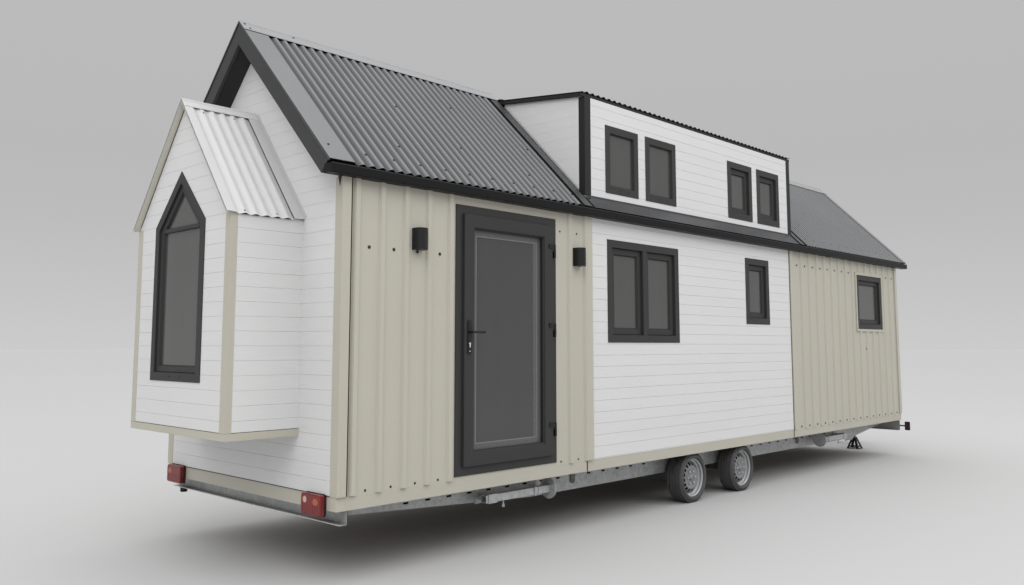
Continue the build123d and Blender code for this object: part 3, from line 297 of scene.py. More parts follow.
def new_tree(name, inputs):
    """An empty Geometry Nodes tree with named inputs; returns it with its inputs and its output node."""
    tree = bpy.data.node_groups.new(name, "GeometryNodeTree")
    tree.interface.new_socket("Geometry", in_out="INPUT", socket_type="NodeSocketGeometry")
    tree.interface.new_socket("Geometry", in_out="OUTPUT", socket_type="NodeSocketGeometry")
    for label, kind in inputs:
        tree.interface.new_socket(label, in_out="INPUT", socket_type="NodeSocket" + kind)
    return tree, tree.nodes.new("NodeGroupInput").outputs, tree.nodes.new("NodeGroupOutput")


def close_tree(tree, geometry, leaving, material):
    """Ends a tree: instances made real, material set."""
    real = step(tree, "GeometryNodeRealizeInstances", {0: geometry})
    coated = step(tree, "GeometryNodeSetMaterial", {0: real.outputs[0], "Material": material})
    tree.links.new(coated.outputs[0], leaving.inputs[0])


def grown(tree, values, start=None, bevel=0.0, thickness=0.0):
    """The plain mesh that a tree grows, with its edges broken or its sheet given a thickness."""
    host = into_scene("host", start or bpy.data.meshes.new("host"))
    growth = host.modifiers.new("growth", "NODES")
    growth.node_group = tree
    for item in tree.interface.items_tree:
        if item.in_out == "INPUT" and item.name in values:
            growth[item.identifier] = values[item.name]
    if thickness:
        wall = host.modifiers.new("wall", "SOLIDIFY")
        wall.thickness = thickness
        wall.offset = 0
    if bevel:
        edge = host.modifiers.new("edge", "BEVEL")
        edge.width = bevel
        edge.segments = 1
        edge.limit_method = "ANGLE"
    bpy.context.view_layer.update()
    mesh = bpy.data.meshes.new_from_object(host.evaluated_get(bpy.context.evaluated_depsgraph_get()))
    bpy.data.objects.remove(host)
    mesh.materials.clear()
    return mesh


def grown_with(tree, label, shape, values, start=None, bevel=0.0):
    """The same, with a shape of its own as one named input."""
    lent = into_scene(label, shape)
    mesh = grown(tree, {**values, label: lent}, start, bevel)
    bpy.data.objects.remove(lent)
    return mesh


def join(name, meshes, angle=SOFT_ANGLE):
    """Several meshes as one."""
    bm = bmesh.new()
    for mesh in meshes:
        bm.from_mesh(mesh)
    joined = bpy.data.meshes.new(name)
    bm.to_mesh(joined)
    bm.free()
    joined.shade_smooth()
    joined.set_sharp_from_angle(angle=angle)
    return joined


# Tread blocks stand on circles round the axle, each row half a block on.
tread_tree, tread_in, tread_out = new_tree("tread_blocks", [
    ("Radius", "Float"), ("Rows", "Int"), ("Row pitch", "Float"), ("Blocks", "Int"), ("Block size", "Vector"),
    ("Rubber", "Material")])
circle = step(tread_tree, "GeometryNodeMeshCircle", {"Vertices": tread_in["Blocks"],
                                                     "Radius": tread_in["Radius"]})
upright = step(tread_tree, "GeometryNodeTransform", {0: circle.outputs[0], "Rotation": (math.pi / 2, 0, 0)})
row_line = step(tread_tree, "GeometryNodeMeshLine", {"Count": tread_in["Rows"]}, mode="OFFSET")
row_gap = step(tread_tree, "ShaderNodeCombineXYZ", {1: tread_in["Row pitch"]})
tread_tree.links.new(row_gap.outputs[0], row_line.inputs["Offset"])
row_number = step(tread_tree, "GeometryNodeInputIndex")
half_turn = maths(tread_tree, "DIVIDE", math.pi, tread_in["Blocks"])
row_angle = step(tread_tree, "ShaderNodeCombineXYZ", {1: maths(tread_tree, "MULTIPLY", row_number.outputs[0],
                                                               half_turn)})
rows = step(tread_tree, "GeometryNodeInstanceOnPoints", {0: row_line.outputs[0], "Instance": upright.outputs[0],
                                                         "Rotation": row_angle.outputs[0]})
spots = step(tread_tree, "GeometryNodeRealizeInstances", {0: rows.outputs[0]})
spot_place = step(tread_tree, "GeometryNodeInputPosition")
flat_place = step(tread_tree, "ShaderNodeVectorMath", {0: spot_place.outputs[0], 1: (1, 0, 1)},
                  operation="MULTIPLY")
outward = step(tread_tree, "FunctionNodeAlignRotationToVector", {"Vector": flat_place.outputs[0]}, axis="Z",
               pivot_axis="Y")
block = step(tread_tree, "GeometryNodeMeshCube", {0: tread_in["Block size"]})
blocks = step(tread_tree, "GeometryNodeInstanceOnPoints", {0: spots.outputs[0], "Instance": block.outputs[0],
                                                           "Rotation": outward.outputs[0]})
close_tree(tread_tree, blocks.outputs[0], tread_out, tread_in["Rubber"])

for corner in CORNERS:
    low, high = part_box("tyre_" + corner)
    axle = (low + high) / 2
    radius = (high.z - low.z) / 2
    half = (high.y - low.y) / 2
    crown = radius - TREAD
    side = [(BEAD, -half + 0.040), (BEAD + 0.001, -half + 0.018), (BEAD + 0.007, -half + 0.005),
            (BEAD + 0.013, -half + 0.001), (BEAD + 0.018, -half), (BEAD + 0.022, -half + 0.003),
            (BEAD + 0.030, -half + 0.004), (crown - 0.012, -half + 0.010), (crown - 0.004, -half + 0.018)]
    profile = side + [(crown, -half + 0.032), (crown, half - 0.032)]
    profile += [(r, -y) for r, y in reversed(side)]
    work = bmesh.new()
    turned(work, profile, axle, ROUND)
    carcass = settle(work, "carcass")
    pitch = 2 * (half - 0.012) / TREAD_ROWS
    spacing = 2 * math.pi * radius / BLOCKS_ROUND
    blocks_mesh = grown(tread_tree, {"Radius": radius - TREAD / 2 - 0.0008, "Rows": TREAD_ROWS,
                                     "Row pitch": pitch, "Blocks": BLOCKS_ROUND,
                                     "Block size": (spacing - CROSS_GAP, pitch - TREAD_GAP, TREAD + 0.001)},
                        bevel=0.0012)
    blocks_mesh.transform(Matrix.Translation(axle - Vector((0, pitch * (TREAD_ROWS - 1) / 2, 0))))
    put("tyre_" + corner + "_rubber", join("tyre_" + corner, [carcass, blocks_mesh]), [rubber],
        "wheel_" + corner, ["tyre_" + corner])

# ---- wheel rims -------------------------------------------------------------
# Pressed steel, silver: a rolled lip, a well, a dished disc with sixteen
# vents, a raised ring with six nuts and a turned hub cap. Disc and cap take
# a darker copy of the silver: painted shade.
rim_paint = finish("silver_rim_paint", tone(172, 174, 176), rough=0.34, shade=0.06, size=12.0, bump=0.08,
                   metal=0.35)
disc_shaded_silver = finish("silver_disc_painted_shade", tone(134, 135, 136), rough=0.38, shade=0.08, size=12.0, bump=0.08,
                    metal=0.35)
drum_iron = finish("brake_drum_iron", tone(18, 18, 18), rough=0.8, shade=0.1, bump=0.2, gloss=0.2)
VENT_STEP = 6
# Which of the six steps of a vent are open, in each ring of the disc.
VENT_OPEN = {1: (1, 2), 2: (0, 1, 2, 3), 3: (0, 1, 2, 3)}
NUTS = 6
NUT_CIRCLE = 0.062
NUT_SEAT = 0.028
DISC_GAUGE = 0.003
RIM_INSET = 0.014
barrel = [(0.171, 0.040), (0.170, 0.018), (0.174, 0.012), (0.180, 0.0085), (0.185, 0.010), (0.1865, 0.013),
          (0.1835, 0.016), (0.178, 0.015), (0.174, 0.022), (0.174, 0.040), (0.160, 0.052), (0.152, 0.070),
          (0.152, 0.128), (0.172, 0.150), (0.172, 0.160), (0.168, 0.160), (0.168, 0.152), (0.148, 0.130),
          (0.148, 0.068), (0.157, 0.048)]
disc = [(0.149, 0.068), (0.144, 0.054), (0.139, 0.044), (0.130, 0.034), (0.114, 0.026), (0.104, 0.024),
        (0.094, 0.027), (0.084, 0.033), (0.060, 0.034), (0.031, 0.034)]
drum = [(0.0005, 0.078), (0.130, 0.078), (0.142, 0.084), (0.142, 0.120), (0.0005, 0.120)]
cap = [(0.0, 0.012), (0.014, 0.013), (0.025, 0.018), (0.031, 0.027), (0.033, 0.040), (0.029, 0.040),
       (0.027, 0.029), (0.022, 0.022), (0.0, 0.017)]
nut_tree, nut_in, nut_out = new_tree("ring_of_nuts", [("Nuts", "Int"), ("Radius", "Float"),
                                                      ("Steel", "Material")])
nut_circle = step(nut_tree, "GeometryNodeMeshCircle", {"Vertices": nut_in["Nuts"], "Radius": nut_in["Radius"]})
nut = step(nut_tree, "GeometryNodeMeshCone", {"Vertices": 6, "Radius Top": 0.0085, "Radius Bottom": 0.011,
                                              "Depth": 0.016})
nuts = step(nut_tree, "GeometryNodeInstanceOnPoints", {0: nut_circle.outputs[0], "Instance": nut.outputs[0]})
close_tree(nut_tree, nuts.outputs[0], nut_out, nut_in["Steel"])
for corner in CORNERS:
    low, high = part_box("tyre_" + corner)
    out = -1 if low.y < 0 else 1
    axle = (low + high) / 2
    face_y = low.y if out < 0 else high.y
    hub = Vector((axle.x, face_y - out * RIM_INSET, axle.z))
    work = bmesh.new()
    turned(work, [(r, -out * y) for r, y in barrel], hub, ROUND)
    turned(work, [(max(r, 0.0005), -out * y) for r, y in cap], hub, 24, 1)
    turned(work, [(r, -out * y) for r, y in drum], hub, 48, 2)
    rings = []
    for r, y in disc:
        rings.append([work.verts.new((hub.x + r * math.cos(2 * math.pi * k / ROUND), hub.y - out * y,
                                      hub.z + r * math.sin(2 * math.pi * k / ROUND))) for k in range(ROUND)])
    pressed = []
    for j in range(len(disc) - 1):
        for k in range(ROUND):
            if k % VENT_STEP in VENT_OPEN.get(j, ()):
                continue
            n = (k + 1) % ROUND
            pressed.append(work.faces.new((rings[j][k], rings[j][n], rings[j + 1][n], rings[j + 1][k])))
            pressed[-1].material_index = 1
    bmesh.ops.recalc_face_normals(work, faces=work.faces)
    bmesh.ops.solidify(work, geom=pressed, thickness=DISC_GAUGE)
    nut_mesh = grown(nut_tree, {"Nuts": NUTS, "Radius": NUT_CIRCLE}, bevel=0.0008)
    nut_mesh.transform(Matrix.Translation(hub - Vector((0, out * NUT_SEAT, 0)))
                       @ Matrix.Rotation(-out * math.pi / 2, 4, "X"))
    put("rim_" + corner + "_pressed", join("rim_" + corner, [settle(work, "rim"), nut_mesh]),
        [rim_paint, disc_shaded_silver, drum_iron], "wheel_" + corner, ["rim_" + corner])

# ---- floor and carcass ------------------------------------------------------
# The deck is boarded timber on the rails; walls and roof are timber panels,
# painted white inside, that only show at their edges and through the glass.
timber = finish("deck_timber", tone(150, 128, 98), rough=0.7, shade=0.12, size=3.0, stretch=(0.3, 6, 6),
                bump=0.3)
white_panel = finish("white_wall_panel", tone(200, 200, 200), rough=0.6, shade=0.02, bump=0.08)
roof_board = finish("roof_underside", tone(40, 40, 41), rough=0.6, shade=0.06, bump=0.15, gloss=0.2)
dress(timber, "floor_deck", "loft_floor")
dress(white_panel, "near_wall_rear", "near_wall_over_door", "near_wall_front", "far_wall", "rear_wall",
      "front_wall", "bay_floor", "bay_side_walls", "bay_front_wall", "dormer_front_walls", "dormer_cheeks")
dress(roof_board, "roof_slope_near", "roof_slope_far")

# ---- white boards -----------------------------------------------------------
# Fibre-cement boards, factory painted white, laid level with an open joint
# and nailed to battens.
BOARD = 0.0965
JOINT = 0.0010
BOARD_THICK = 0.006
near_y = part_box("near_wall_front")[0].y
far_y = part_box("far_wall")[1].y
rear_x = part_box("rear_wall")[0].x
front_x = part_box("front_wall")[1].x
door_low, door_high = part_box("door_frame")
gutter_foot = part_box("gutters")[0].z
base_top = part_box("base_trim")[1].z
zone_rear = door_high.x + 0.440
zone_front = zone_rear + 3.789

board_tree, board_in, board_out = new_tree("board_rows", [
    ("Holes", "Object"), ("Board", "Float"), ("Joint", "Float"), ("Thickness", "Float"), ("First", "Float"),
    ("Rows", "Int"), ("Middle", "Float"), ("Length", "Float"), ("Paint", "Material")])
face_height = maths(board_tree, "SUBTRACT", board_in["Board"], board_in["Joint"])
board_size = step(board_tree, "ShaderNodeCombineXYZ", {0: board_in["Length"], 1: board_in["Thickness"],
                                                       2: face_height})
plank = step(board_tree, "GeometryNodeMeshCube", {0: board_size.outputs[0]})
half_out = maths(board_tree, "MULTIPLY", board_in["Thickness"], -0.5)
half_board = maths(board_tree, "MULTIPLY", board_in["Board"], 0.5)
first_middle = maths(board_tree, "ADD", board_in["First"], half_board)
first_spot = step(board_tree, "ShaderNodeCombineXYZ", {0: board_in["Middle"], 1: half_out, 2: first_middle})
rise = step(board_tree, "ShaderNodeCombineXYZ", {2: board_in["Board"]})
ladder = step(board_tree, "GeometryNodeMeshLine", {"Count": board_in["Rows"],
                                                   "Start Location": first_spot.outputs[0],
                                                   "Offset": rise.outputs[0]}, mode="OFFSET")
laid = step(board_tree, "GeometryNodeInstanceOnPoints", {0: ladder.outputs[0], "Instance": plank.outputs[0]})
nailed = step(board_tree, "GeometryNodeRealizeInstances", {0: laid.outputs[0]})
trimmed = step(board_tree, "GeometryNodeMeshBoolean", operation="INTERSECT")
board_tree.links.new(nailed.outputs[0], trimmed.inputs[1])
board_tree.links.new(board_in[0], trimmed.inputs[1])
cutter = step(board_tree, "GeometryNodeObjectInfo", {"Object": board_in["Holes"]})
cut = step(board_tree, "GeometryNodeMeshBoolean", {0: trimmed.outputs[0]}, operation="DIFFERENCE")
board_tree.links.new(cutter.outputs["Geometry"], cut.inputs[1])
close_tree(board_tree, cut.outputs[0], board_out, board_in["Paint"])


def prism(bm, outline, axis, low, high, material=0):
    """A closed prism, its outline square to the axis: (y, z) along X, (x, z) along Y, (x, y) along Z."""
    def spot(u, v, w):
        return {"X": (w, u, v), "Y": (u, w, v), "Z": (u, v, w)}[axis]
    front = [bm.verts.new(spot(u, v, low)) for u, v in outline]
    back = [bm.verts.new(spot(u, v, high)) for u, v in outline]
    faces = [bm.faces.new(front), bm.faces.new(list(reversed(back)))]
    for k in range(len(outline)):
        j = (k + 1) % len(outline)
        faces.append(bm.faces.new((front[j], front[k], back[k], back[j])))
    for face in faces:
        face.material_index = material
    return faces


def prisms(name, outlines, low, high):
    """Closed blocks drawn face-on, as a mesh that cuts or is cut."""
    bm = bmesh.new()
    for outline in outlines:
        prism(bm, outline, "Y", low, high)
    bmesh.ops.recalc_face_normals(bm, faces=bm.faces)
    mesh = bpy.data.meshes.new(name)
    bm.to_mesh(mesh)
    bm.free()
    return mesh


def rectangle(u0, u1, v0, v1):
    """Its corners, from the lower left round."""
    return [(u0, v0), (u1, v0), (u1, v1), (u0, v1)]


def facing(turn_degrees, x, y):
    """Sets work drawn face-on, x along the wall and y into it, on a wall that faces another way."""
    return Matrix.Translation((x, y, 0)) @ Matrix.Rotation(math.radians(turn_degrees), 4, "Z")


def boarded(outline, holes, place, first, board=BOARD, joint=JOINT, bevel=0.0005):
    """Boards over one wall, cut to its outline and round its openings."""
    left = min(u for u, v in outline)
    right = max(u for u, v in outline)
    foot = min(v for u, v in outline)
    head = max(v for u, v in outline)
    start = first - math.ceil((first - foot) / board) * board
    mesh = grown_with(board_tree, "Holes", prisms("holes", holes, -0.05, 0.05),
                      {"Board": board, "Joint": joint, "Thickness": BOARD_THICK, "First": start,
                       "Rows": math.ceil((head - start) / board), "Middle": (left + right) / 2,
                       "Length": right - left + 0.1},
                      prisms("outline", [outline], -0.04, 0.04), bevel)
    mesh.transform(place)
    return mesh


def loose_boxes(node):
    """The corners of each loose solid in a CAD node."""
    bm = bmesh.new()
    bm.from_mesh(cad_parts[node].data)
    bmesh.ops.remove_doubles(bm, verts=bm.verts, dist=1e-5)
    left = set(bm.verts)
    found = []
    while left:
        seed = left.pop()
        group, edge = [seed], [seed]
        while edge:
            for link in edge.pop().link_edges:
                for vert in link.verts:
                    if vert in left:
                        left.remove(vert)
                        group.append(vert)
                        edge.append(vert)
        found.append((Vector([min(v.co[k] for v in group) for k in range(3)]),
                      Vector([max(v.co[k] for v in group) for k in range(3)])))
    bm.free()
    return sorted(found, key=lambda box: (round(box[0].y, 3), box[0].x))


side_windows = loose_boxes("side_window_frames")
near_windows = [box for box in side_windows if box[0].y < 0]
far_windows = [box for box in side_windows if box[0].y > 0]
dormer_windows = loose_boxes("dormer_window_frames")
bay_low, bay_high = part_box("bay_front_wall")
bay_roof_low, bay_roof_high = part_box("bay_roof")
bay_mid = (bay_roof_low.y + bay_roof_high.y) / 2
BAY_PITCH = 50.8
bay_tilt = math.radians(BAY_PITCH)
BAY_SLOPE = math.tan(bay_tilt)
bay_ridge = bay_roof_high.z
BAY_SHEET = 0.022 / math.cos(bay_tilt)
bay_eave_z = bay_ridge - (bay_mid - bay_roof_low.y) * BAY_SLOPE
bay_corner_z = bay_ridge - (bay_mid - bay_low.y) * BAY_SLOPE - BAY_SHEET - 0.001
bay_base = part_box("bay_floor")
CAP_OVER_RIDGE = 0.0042
roof_ridge = cad_high.z - CAP_OVER_RIDGE
ROOF_THICK = 0.120
UNDER_ROOF = ROOF_THICK * math.sqrt(2)


def assembled(name, meshes, material, stands_for=(), angle=SOFT_ANGLE):
    """Several meshes of one material as one piece of the house."""
    put(name, join(name, meshes, angle), [material], "house", stands_for)


board_paint = finish("white_board_paint", tone(207, 207, 207), rough=0.55, shade=0.015, size=1.2,
                     stretch=(1, 1, 5), bump=0.25, fine=70.0, depth=0.0008)


def hole_of(box, sign=1):
    """A frame's outline as it is drawn on its wall."""
    low_u, high_u = sorted((sign * box[0].x, sign * box[1].x))
    return rectangle(low_u, high_u, box[0].z, box[1].z)


FIRST_SIDE = 0.672
SIDE_BOARD = 0.0973
SIDE_JOINT = 0.0016
near_wall = facing(0, 0, near_y)
far_wall = facing(180, 0, far_y)
near_boards = boarded(rectangle(zone_rear, zone_front, base_top, gutter_foot),
                      [hole_of(box) for box in near_windows[:2]], near_wall, FIRST_SIDE, SIDE_BOARD, SIDE_JOINT)
far_boards = boarded(rectangle(-zone_front, -zone_rear, base_top, gutter_foot),
                     [hole_of(box, -1) for box in far_windows[:2]], far_wall, FIRST_SIDE, SIDE_BOARD,
                     SIDE_JOINT)
assembled("side_wall_boards", [near_boards, far_boards], board_paint)

FIRST_GABLE = 0.665
gable_top = roof_ridge - UNDER_ROOF
gable = [(-far_y, base_top), (far_y, base_top), (far_y, gable_top - far_y), (0, gable_top),
         (-far_y, gable_top - far_y)]
bay_hole = [(-bay_high.y, bay_base[0].z), (-bay_low.y, bay_base[0].z), (-bay_low.y, bay_corner_z),
            (-bay_roof_low.y, bay_eave_z), (-bay_mid, bay_ridge), (-bay_roof_high.y, bay_eave_z),
            (-bay_high.y, bay_corner_z)]
rear_boards = boarded(gable, [bay_hole], facing(-90, rear_x, 0), FIRST_GABLE)
front_boards = boarded(gable, [], facing(90, front_x, 0), FIRST_GABLE)
assembled("gable_boards", [rear_boards, front_boards], board_paint)

# ---- beige ribbed cladding --------------------------------------------------
# Pre-coated steel sheet, roll-formed with a narrow upright rib at each stud
# and screwed through its pans.  It closes both ends of the long walls.
RIB_PITCH = 0.211
RIB_HEIGHT = 0.018
RIB_TOP = 0.033
RIB_BASE = 0.063
SHEET_GAUGE = 0.0012
PAN_OUT = 0.0015

rib_tree, rib_in, rib_out = new_tree("ribbed_sheet", [
    ("Ribs", "Int"), ("First rib", "Float"), ("Pitch", "Float"), ("Left", "Float"), ("Right", "Float"),
    ("Foot", "Float"), ("Head", "Float"), ("Top width", "Float"), ("Base width", "Float"),
    ("Rib height", "Float"), ("Coat", "Material")])
# The grid's columns are the sheet's two ends and four corners for each rib;
# each is moved to its place along the sheet and stood out where a rib is.
steps = maths(rib_tree, "MULTIPLY_ADD", rib_in["Ribs"], 4.0, 1.0)
columns = maths(rib_tree, "ADD", steps, 1.0)
sheet_grid = step(rib_tree, "GeometryNodeMeshGrid", {"Size X": steps, "Size Y": 1.0, "Vertices X": columns,
                                                     "Vertices Y": 2})
grid_place = step(rib_tree, "GeometryNodeInputPosition")
grid_xyz = step(rib_tree, "ShaderNodeSeparateXYZ", {0: grid_place.outputs[0]})
column = maths(rib_tree, "ROUND", maths(rib_tree, "MULTIPLY_ADD", steps, 0.5, grid_xyz.outputs["X"]))
inner_column = maths(rib_tree, "SUBTRACT", column, 1.0)
corner_number = maths(rib_tree, "FLOORED_MODULO", inner_column, 4.0)
rib_number = maths(rib_tree, "FLOOR", maths(rib_tree, "DIVIDE", inner_column, 4.0))
from_middle = maths(rib_tree, "SUBTRACT", corner_number, 1.5)
side_of_rib = maths(rib_tree, "SIGN", from_middle)
on_top = maths(rib_tree, "LESS_THAN", maths(rib_tree, "ABSOLUTE", from_middle), 1.0)
rib_width = step(rib_tree, "ShaderNodeMix", {0: on_top, 2: rib_in["Base width"], 3: rib_in["Top width"]},
                 data_type="FLOAT")
rib_half = maths(rib_tree, "MULTIPLY", rib_width.outputs[0], 0.5)
rib_middle = maths(rib_tree, "MULTIPLY_ADD", rib_number, rib_in["Pitch"], rib_in["First rib"])
rib_x = maths(rib_tree, "MULTIPLY_ADD", side_of_rib, rib_half, rib_middle)
at_left = maths(rib_tree, "LESS_THAN", column, 0.5)
at_right = maths(rib_tree, "GREATER_THAN", column, maths(rib_tree, "SUBTRACT", steps, 0.5))
x_left = step(rib_tree, "ShaderNodeMix", {0: at_left, 2: rib_x, 3: rib_in["Left"]}, data_type="FLOAT")
x_sheet = step(rib_tree, "ShaderNodeMix", {0: at_right, 2: x_left.outputs[0], 3: rib_in["Right"]},
               data_type="FLOAT")
between_ends = maths(rib_tree, "SUBTRACT", 1.0, maths(rib_tree, "ADD", at_left, at_right))
rib_proud = maths(rib_tree, "MULTIPLY", maths(rib_tree, "MULTIPLY", on_top, between_ends), rib_in["Rib height"])
rib_y = maths(rib_tree, "MULTIPLY_ADD", rib_proud, -1.0, -PAN_OUT)
up_share = maths(rib_tree, "ADD", grid_xyz.outputs["Y"], 0.5)
rib_z = step(rib_tree, "ShaderNodeMix", {0: up_share, 2: rib_in["Foot"], 3: rib_in["Head"]}, data_type="FLOAT")
folded_place = step(rib_tree, "ShaderNodeCombineXYZ", {0: x_sheet.outputs[0], 1: rib_y, 2: rib_z.outputs[0]})
folded = step(rib_tree, "GeometryNodeSetPosition", {0: sheet_grid.outputs[0],
                                                    "Position": folded_place.outputs[0]})
close_tree(rib_tree, folded.outputs[0], rib_out, rib_in["Coat"])

cut_tree, cut_in, cut_out = new_tree("cut_openings", [("Holes", "Object"), ("Coat", "Material")])
openings = step(cut_tree, "GeometryNodeObjectInfo", {"Object": cut_in["Holes"]})
opened = step(cut_tree, "GeometryNodeMeshBoolean", {0: cut_in[0]}, operation="DIFFERENCE")
cut_tree.links.new(openings.outputs["Geometry"], opened.inputs[1])
close_tree(cut_tree, opened.outputs[0], cut_out, cut_in["Coat"])


def coated(name, colour, rough=0.4, shade=0.04, size=2.5, bump=0.05, fine=120.0, **settings):
    """Sheet steel with a factory coat, nearly smooth."""
    return finish(name, colour, rough, shade, size, bump=bump, fine=fine, **settings)


beige_coat = coated("beige_coated_steel", tone(177, 173, 161), 0.42, 0.015, 1.5, fine=140.0)
flashing_coat = coated("beige_flashing", tone(177, 173, 160), 0.42, 0.02, 2.0, fine=140.0)


def ribbed(left, right, first, place, holes=(), foot=base_top, head=gutter_foot, pitch=RIB_PITCH):
    """One run of ribbed sheet between two flashings."""
    count = max(0, math.floor((right - RIB_BASE / 2 - first) / pitch + 1e-6) + 1)
    mesh = grown(rib_tree, {"Ribs": count, "First rib": first, "Pitch": pitch, "Left": left, "Right": right,
                            "Foot": foot, "Head": head, "Top width": RIB_TOP, "Base width": RIB_BASE,
                            "Rib height": RIB_HEIGHT}, thickness=SHEET_GAUGE)
    if holes:
        mesh = grown_with(cut_tree, "Holes", prisms("holes", holes, -0.06, 0.06), {}, mesh)
    mesh.transform(place)
    return mesh


FRONT_PITCH = 0.212
CORNER_GAP = 0.01
door_side = [
    ribbed(rear_x + CORNER_GAP, door_low.x, rear_x + 0.120, near_wall),
    ribbed(door_low.x, door_high.x, door_high.x + 1, near_wall, foot=door_high.z),
    ribbed(door_high.x, zone_rear, door_high.x + 0.187, near_wall),
    ribbed(zone_front, front_x - CORNER_GAP, zone_front + 0.268, near_wall, [hole_of(near_windows[2])],
           pitch=FRONT_PITCH),
]
plain_side = [
    ribbed(-zone_rear, -rear_x - CORNER_GAP, -zone_rear + 0.150, far_wall),
    ribbed(-front_x + CORNER_GAP, -zone_front, -front_x + 0.120, far_wall, [hole_of(far_windows[2], -1)],
           pitch=FRONT_PITCH),
]
assembled("ribbed_cladding", door_side + plain_side, beige_coat, angle=math.radians(20))

# ---- flashings of the walls -------------------------------------------------
# Folded from the same coated steel: an L over each corner, a cover strip on
# each joint between claddings, and a band round the foot of the bay.
WING = 0.062
JOINT_STRIP = 0.070
RIB_COVER = 0.0215
BOARD_COVER = 0.009
BAY_SIDE_WING = 0.040
BAY_BAND = 0.050
COVER = 0.0012
TUCK = 0.001


def broken(bm, name, width=0.0015, angle=SOFT_ANGLE):
    """The mesh with its sharp edges broken, as a folded or planed piece has them."""
    bmesh.ops.recalc_face_normals(bm, faces=bm.faces)
    sharp = [edge for edge in bm.edges if len(edge.link_faces) == 2 and edge.calc_face_angle() > angle]
    bmesh.ops.bevel(bm, geom=sharp, offset=width, segments=1, affect="EDGES")
    mesh = bpy.data.meshes.new(name)
    bm.to_mesh(mesh)
    bm.free()
    mesh.shade_smooth()
    mesh.set_sharp_from_angle(angle=math.radians(20))
    return mesh


def fitted(name, bm, material, stands_for=(), edge=0.0015, body="house", angle=SOFT_ANGLE):
    """A piece of one material with its edges broken, set on its body."""
    put(name, broken(bm, name, edge, angle), [material], body, stands_for)


def corner_fold(bm, corner, ways, wings, proud, foot, head):
    """An L of flashing over an upright corner: its wings run along x and y, each standing proud of its face."""
    (x, y), (way_x, way_y), (wing_x, wing_y), (out_x, out_y) = corner, ways, wings, proud
    fold = [(wing_x, -out_y), (-out_x, -out_y), (-out_x, wing_y), (0, wing_y), (0, 0), (wing_x, 0)]
    prism(bm, [(x + way_x * u, y + way_y * v) for u, v in fold], "Z", foot, head)


work = bmesh.new()
for way_x, corner_x in ((1, rear_x), (-1, front_x)):
    for way_y, side_y in ((1, near_y), (-1, far_y)):
        corner_fold(work, (corner_x, side_y), (way_x, way_y), (WING, WING), (BOARD_COVER, RIB_COVER),
                    base_top, gutter_foot)
for joint_x in (zone_rear, zone_front):
    for side_y in ((near_y - RIB_COVER, near_y), (far_y, far_y + RIB_COVER)):
        prism(work, rectangle(joint_x - JOINT_STRIP / 2, joint_x + JOINT_STRIP / 2, *side_y), "Z", base_top,
              gutter_foot)
trim_low, trim_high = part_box("base_trim")
for corner_x, way_x in ((trim_low.x, 1), (trim_high.x, -1)):
    for side_y, way_y in ((trim_low.y, 1), (trim_high.y, -1)):
        fold = [(-COVER, -COVER), (WING, -COVER), (WING, TUCK), (TUCK, TUCK), (TUCK, WING), (-COVER, WING)]
        prism(work, [(corner_x + way_x * u, side_y + way_y * v) for u, v in fold], "Z", trim_low.z,
              base_top + 0.002)
base_low, base_high = bay_base
bay_foot = base_low.z + BAY_BAND
for way_y, side_y in ((1, bay_low.y), (-1, bay_high.y)):
    corner_fold(work, (bay_low.x, side_y), (1, way_y), (BAY_SIDE_WING, WING), (BOARD_COVER, BOARD_COVER),
                bay_foot, bay_corner_z)
band_end = rear_x - BOARD_THICK
band = [(base_low.x - BOARD_COVER, base_low.y - BOARD_COVER), (band_end, base_low.y - BOARD_COVER),
        (band_end, base_low.y), (base_low.x, base_low.y), (base_low.x, base_high.y), (band_end, base_high.y),
        (band_end, base_high.y + BOARD_COVER), (base_low.x - BOARD_COVER, base_high.y + BOARD_COVER)]
prism(work, band, "Z", base_low.z, bay_foot)
fitted("wall_flashings", work, flashing_coat, ["wall_trims"])
dress(finish("base_flashing", tone(175, 171, 159), rough=0.45, shade=0.03, size=2.0, bump=0.05), "base_trim")

# Dark strips painted as the shade in the open joints: beside the corner flashing
# and each joint strip, and along the head of the base strips; a thin trim closes
# the door's foot.
GROOVE = 0.009
groove_shadow_paint = finish("joint_shadow", tone(58, 52, 42), rough=0.9, shade=0.05, bump=0.1, gloss=0.1)
seam_shadow_paint = finish("seam_shadow", tone(46, 45, 43), rough=0.9, shade=0.05, bump=0.1, gloss=0.1)
work, seam_work = bmesh.new(), bmesh.new()
beside_strip = JOINT_STRIP / 2 + GROOVE + 0.001
for side_y, out in ((near_y, -1), (far_y, 1)):
    for x0, foot, proud in ((rear_x + WING - 0.0015, base_top, RIB_COVER + 0.0006),
                            (zone_rear - beside_strip, trim_low.z + 0.001, 0.0078),
                            (zone_front - beside_strip, trim_low.z + 0.001, 0.0082)):
        prism(work, rectangle(x0, x0 + GROOVE, *sorted((side_y, side_y + out * proud))), "Z", foot, gutter_foot)
for x0, out in ((rear_x, -1), (front_x, 1)):
    prism(seam_work, rectangle(*sorted((x0, x0 + out * 0.0095)), near_y + WING + 0.002, far_y - WING - 0.002),
          "Z", base_top, base_top + 0.004)
SEAM_OUT = 0.0085
prism(seam_work, rectangle(bay_low.x - SEAM_OUT, band_end, bay_low.y - SEAM_OUT, bay_high.y + SEAM_OUT), "Z",
      bay_foot, bay_foot + 0.003)
fitted("cladding_joints", work, groove_shadow_paint, edge=0.0003)
fitted("board_seams", seam_work, seam_shadow_paint, edge=0.0003)
work = bmesh.new()
prism(work, rectangle(door_low.x, door_high.x, near_y - 0.0035, near_y), "Z", base_top - 0.002,
      door_low.z - 0.0005)
fitted("door_foot_trim", work, flashing_coat, edge=0.0005)

